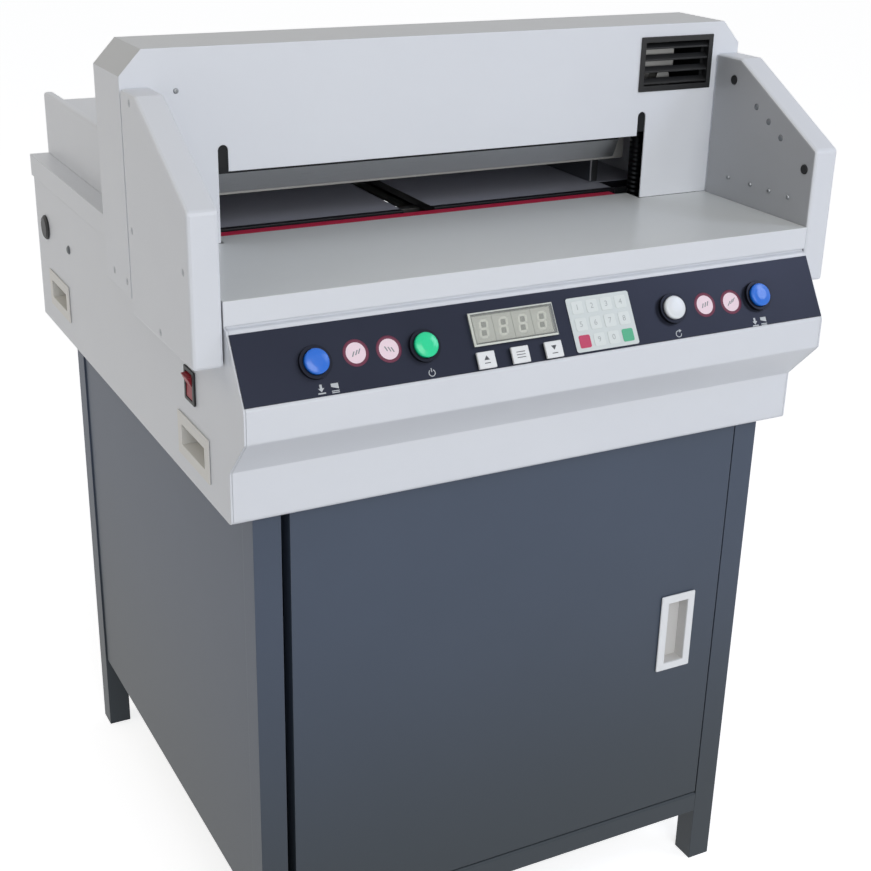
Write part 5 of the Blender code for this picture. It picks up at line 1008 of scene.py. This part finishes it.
DISC_RADIUS, RIM_RADIUS, RIM_WIDTH = 0.0098, 0.0108, 0.0028
RIM_RISE, STROKE_RISE = 2.6 * INK, 1.8 * INK
DISCS = ((-0.2004, 0.0360, 0.6), (-0.1689, 0.0350, -0.5), (0.1720, 0.0320, 0.5), (0.2035, 0.0310, 0.9))

disc_spots = lying([(u, s, 0) for u, s, lean in DISCS])
grow("plate_discs", round_tree("disc", False), disc_spots, pink_ink,
     {"Radius": DISC_RADIUS, "Rise": INK}, console)
grow("plate_disc_rims", round_tree("rim", True), disc_spots, wine_ink,
     {"Radius": RIM_RADIUS, "Width": RIM_WIDTH, "Rise": RIM_RISE}, console)

# %% [markdown]
# ### Strokes on the discs
#
# Each disc carries three leaning strokes in grey ink, with a lean of its own. The stroke is drawn in
# millimetres round the disc's middle, like the signs, and its slab stands just above the disc.

# %% Three strokes on each disc
def stroke(x, lean):
    """A leaning stroke, 1.2 mm wide and 4.4 mm high."""
    return [(x + i * 0.6 + j * lean * 2, x * lean / 2 + j * 2.2) for i, j in CORNERS]


strokes = []
for u, s, lean in DISCS:
    strokes += printed([stroke(x, lean) for x in (-2.6, 0.6, 3.4)], u, s)
piece("plate_disc_strokes", slabs(strokes, INK, STROKE_RISE, console), grey_ink)

# %% [markdown]
# ## Domed lenses, caps and screws
#
# A lens, a plug cap and a screw's pan head share one form: a short bar whose side draws in as it rises. The
# screw also has a crossed recess, cut by two thin blocks. Each screw is turned by a random angle, with a fixed
# seed, because nobody drives two screws to the same angle.

# %% A domed blank and its recess
CROWN_BEND = 2.5                        # how late the side draws in as it rises
RECESS_WIDTH, RECESS_DEPTH = 0.26, 1.3  # of the recess's length, and of the rise, half of it above the head


def domed(tree, given):
    """A short bar that gets narrower as it rises, by the crown's share at its top."""
    blank = add(tree, "GeometryNodeMeshCone", {"Vertices": 20, "Side Segments": 6, "Fill Segments": 1,
                                               "Radius Top": given["Radius"], "Depth": given["Rise"],
                                               "Radius Bottom": given["Radius"]}, fill_type="NGON")
    where = add(tree, "GeometryNodeInputPosition").outputs[0]
    split = add(tree, "ShaderNodeSeparateXYZ", {0: where})
    up = add(tree, "ShaderNodeMath", {0: split.outputs["Z"], 1: given["Rise"]}, operation="DIVIDE")
    bent = add(tree, "ShaderNodeMath", {0: up.outputs[0], 1: CROWN_BEND}, operation="POWER")
    drawn_in = add(tree, "ShaderNodeMath", {0: bent.outputs[0], 1: given["Crown"]}, operation="MULTIPLY")
    share = add(tree, "ShaderNodeMath", {0: 1.0, 1: drawn_in.outputs[0]}, operation="SUBTRACT")
    sizing = add(tree, "ShaderNodeCombineXYZ", {"X": share.outputs[0], "Y": share.outputs[0], "Z": 1.0})
    moved = add(tree, "ShaderNodeVectorMath", {0: where, 1: sizing.outputs[0]}, operation="MULTIPLY")
    return add(tree, "GeometryNodeSetPosition", {"Geometry": blank.outputs["Mesh"],
                                                 "Position": moved.outputs[0]}).outputs[0]


def cross_cut(tree, given, shape):
    """Two crossed blocks, a quarter as wide as they are long, cut out of the top."""
    length = given["Recess"]
    width = add(tree, "ShaderNodeMath", {0: length, 1: RECESS_WIDTH}, operation="MULTIPLY").outputs[0]
    depth = add(tree, "ShaderNodeMath", {0: given["Rise"], 1: RECESS_DEPTH}, operation="MULTIPLY").outputs[0]
    lift = add(tree, "ShaderNodeCombineXYZ", {"Z": given["Rise"]})
    blocks = []
    for x, y in ((length, width), (width, length)):
        size = add(tree, "ShaderNodeCombineXYZ", {"X": x, "Y": y, "Z": depth})
        cube = add(tree, "GeometryNodeMeshCube", {"Size": size.outputs[0]})
        blocks.append(add(tree, "GeometryNodeTransform", {"Geometry": cube.outputs[0],
                                                          "Translation": lift.outputs[0]}).outputs[0])
    return add(tree, "GeometryNodeMeshBoolean", {"Mesh 1": shape, "Mesh 2": blocks},
               operation="DIFFERENCE", solver="EXACT").outputs[0]


# %% The tree of domed heads
SPIN_SEED = 7


def domed_tree(name, recessed):
    """Domed heads that stand out along the way of their point, each spun by its own angle."""
    tree, given = shape_tree(name, ("Radius", "Rise", "Crown", "Recess"))
    shape = domed(tree, given)
    if recessed:
        shape = cross_cut(tree, given, shape)
    way = add(tree, "GeometryNodeInputNamedAttribute", {"Name": "way"}, data_type="FLOAT_VECTOR")
    aimed = add(tree, "FunctionNodeAlignRotationToVector", {"Vector": way.outputs["Attribute"]}, axis="Z")
    # sockets 2 and 3 are the ends of a random number, in place of those of a random vector
    angle = add(tree, "FunctionNodeRandomValue", {2: 0.0, 3: 2 * math.pi, "Seed": SPIN_SEED},
                data_type="FLOAT")
    spin = add(tree, "FunctionNodeAxisAngleToRotation", {"Axis": (0, 0, 1), "Angle": angle.outputs[1]})
    turn = add(tree, "FunctionNodeRotateRotation", {"Rotation": aimed.outputs[0],
                                                    "Rotate By": spin.outputs[0]}, rotation_space="LOCAL")
    on_points(tree, given, shape, turn.outputs[0])
    return tree


domed_cap = domed_tree("domed_cap", False)
cross_screw = domed_tree("cross_recess_screw", True)
print(cross_screw.name, "of", len(cross_screw.nodes), "nodes")

# %% [markdown]
# ### Lenses of the light barrier, and a cap in the wall
#
# Three small smoked lenses on the inner face of each guard belong to the light barrier, which stops the knife
# when a hand is in the throat. They are round, dark and glossy. A matt grey cap closes a hole in the left wall.
# Both are the domed form without a recess.

# %% Light barrier lenses and the wall cap
smoked_lens = polished_plastic("smoked_lens", "#6C7075", 0.20)
grey_cap = etched_plastic("grey_etched_cap", "#5E6468", 0.45)

LENSES = ((-0.2157, 0.8830), (-0.2370, 0.8713), (-0.2581, 0.8587))   # Y and Z on each guard
WALL_CAP = (-0.3110, 0.2071, 0.6890)

lenses = [((side * GUARD_FACE, y, z), (-side, 0, 0)) for side in (-1, 1) for y, z in LENSES]
grow("guard_lenses", domed_cap, lenses, smoked_lens,
     {"Radius": 0.0034, "Rise": 0.0012, "Crown": 0.45})
grow("wall_cap", domed_cap, [(WALL_CAP, (-1, 0, 0))], grey_cap,
     {"Radius": 0.0050, "Rise": 0.0022, "Crown": 0.4})

# %% [markdown]
# ## Side flanges of the cabinet's floor
#
# The pan's floor lies 7 mm below the side panels, and an angle of thin sheet, spot-welded along each side edge,
# closes the slit between them. It stands as high as the pan's own rear flange and is seen when the door is
# open. The section is drawn once and swept along the pan, because a folded angle is the same all the way.

# %% Angles along the pan
REAR_FLANGE, ANGLE_SHEET, ANGLE_FOOT, ANGLE_BEND = 0.012, 0.0012, 0.015, 0.0020
BEHIND_DOOR, BEFORE_BACK = 0.003, 0.0015   # what is left free at the two ends

low, high = (Vector(corner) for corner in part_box("floor_pan"))
pan_top = high.z - REAR_FLANGE
bend = [(high.x - ANGLE_BEND + ANGLE_BEND * math.cos(math.radians(turn)),
         pan_top + ANGLE_BEND + ANGLE_BEND * math.sin(math.radians(turn))) for turn in (-90, -60, -30, 0)]
angle = [(high.x - ANGLE_FOOT, pan_top), *bend, (high.x, high.z), (high.x - ANGLE_SHEET, high.z),
         (high.x - ANGLE_SHEET, pan_top + ANGLE_SHEET), (high.x - ANGLE_FOOT, pan_top + ANGLE_SHEET)]
mirrored = [(-x, z) for x, z in angle[::-1]]
along_pan = turned((1, 0, 0), (0, 0, 1), (0, -1, 0))
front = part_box("door")[1][1] + BEHIND_DOOR
piece("pan_side_flanges", slabs([angle, mirrored], -high.y + BEFORE_BACK, -front, along_pan), slate_coat)

# %% [markdown]
# ## Screws
#
# Pan heads stand on inner faces and on the cabinet's back. The guards, the hood's ends and the rear wall have
# flush screws in shallow seats, which the CAD model already has, so that nothing on the outside catches a
# sleeve. The outer ones are painted over with the sheet.

# %% Pan heads
# zinc plate: bright and a little cloudy, with a fine grain in all directions
zinc_plate = ground_metal("zinc_plated_screw", "#9DA0A3", 0.36, (1500.0, 1500.0, 1500.0), 0.2)

GUARD_ROW, GUARD_ROW_HEIGHT = (-0.181, -0.218, -0.249, -0.279), 0.802
HOOD_SCREW_X, HOOD_SCREW_HEIGHT = -0.2884, 0.9225
PANEL_INSET = 0.014   # from the back panel's edges to its screws

hood_front, hood_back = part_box("hood")[0][1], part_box("hood")[1][1]
low, high = (Vector(corner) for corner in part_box("back_panel"))
halfway = (low.z + high.z) / 2
pan_heads = [((HOOD_SCREW_X, hood_front, HOOD_SCREW_HEIGHT), (0, -1, 0))]
pan_heads += [((side * GUARD_FACE, y, GUARD_ROW_HEIGHT), (-side, 0, 0)) for side in (-1, 1)
              for y in GUARD_ROW]
pan_heads += [((x * (high.x - PANEL_INSET), high.y, z), (0, 1, 0)) for x in (-1, 0, 1)
              for z in (low.z + PANEL_INSET, halfway, high.z - PANEL_INSET) if (x, z) != (0, halfway)]
grow("pan_screws", cross_screw, pan_heads, zinc_plate,
     {"Radius": 0.0026, "Rise": 0.0016, "Crown": 0.4, "Recess": 0.0030})

# %% [markdown]
# ### Flush heads
#
# A flush head has the same form with almost no dome. It lies in its seat just below the face of the sheet. It
# is sprayed with the casing, and looks a little greyer than the paint round it, because the paint wears off
# its edges and dirt stays in its seat.

# %% Flush heads in their seats
painted_screw = powder_coat("painted_screw_head", "#C4C8CE", "#BCC0C6", "#DADDE2", 0.44, edge_radius=0.0003)

GUARD_OUTSIDE, SEAT_DEPTH, HEAD_RISE = 0.340, 0.0009, 0.0008
EDGE_INSET, LOW_ROW, COVER_ROW = 0.0148, 0.8029, 0.7490   # from the guards' edges, and heights
REAR_SEATS = ((0.2967, 0.5830), (0.2967, 0.6694), (0.2967, 0.7558), (0.2770, 0.7804))   # X and Z

guard_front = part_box("cheek_left")[0][1]
rear = cad_box[1][1]
side_seats = ((hood_front - EDGE_INSET, LOW_ROW), (guard_front + EDGE_INSET, LOW_ROW),
              ((guard_front + hood_front) / 2, 0.7291), (hood_front - 0.0284, 0.9195),
              (hood_front + 0.0103, COVER_ROW), (hood_back - 0.0286, COVER_ROW))   # Y and Z
flush_heads = [((side * (GUARD_OUTSIDE - SEAT_DEPTH), y, z), (side, 0, 0)) for side in (-1, 1)
               for y, z in side_seats]
flush_heads += [((side * x, rear - SEAT_DEPTH, z), (0, 1, 0)) for side in (-1, 1) for x, z in REAR_SEATS]
grow("flush_screws", cross_screw, flush_heads, painted_screw,
     {"Radius": 0.0032, "Rise": HEAD_RISE, "Crown": 0.12, "Recess": 0.0034})
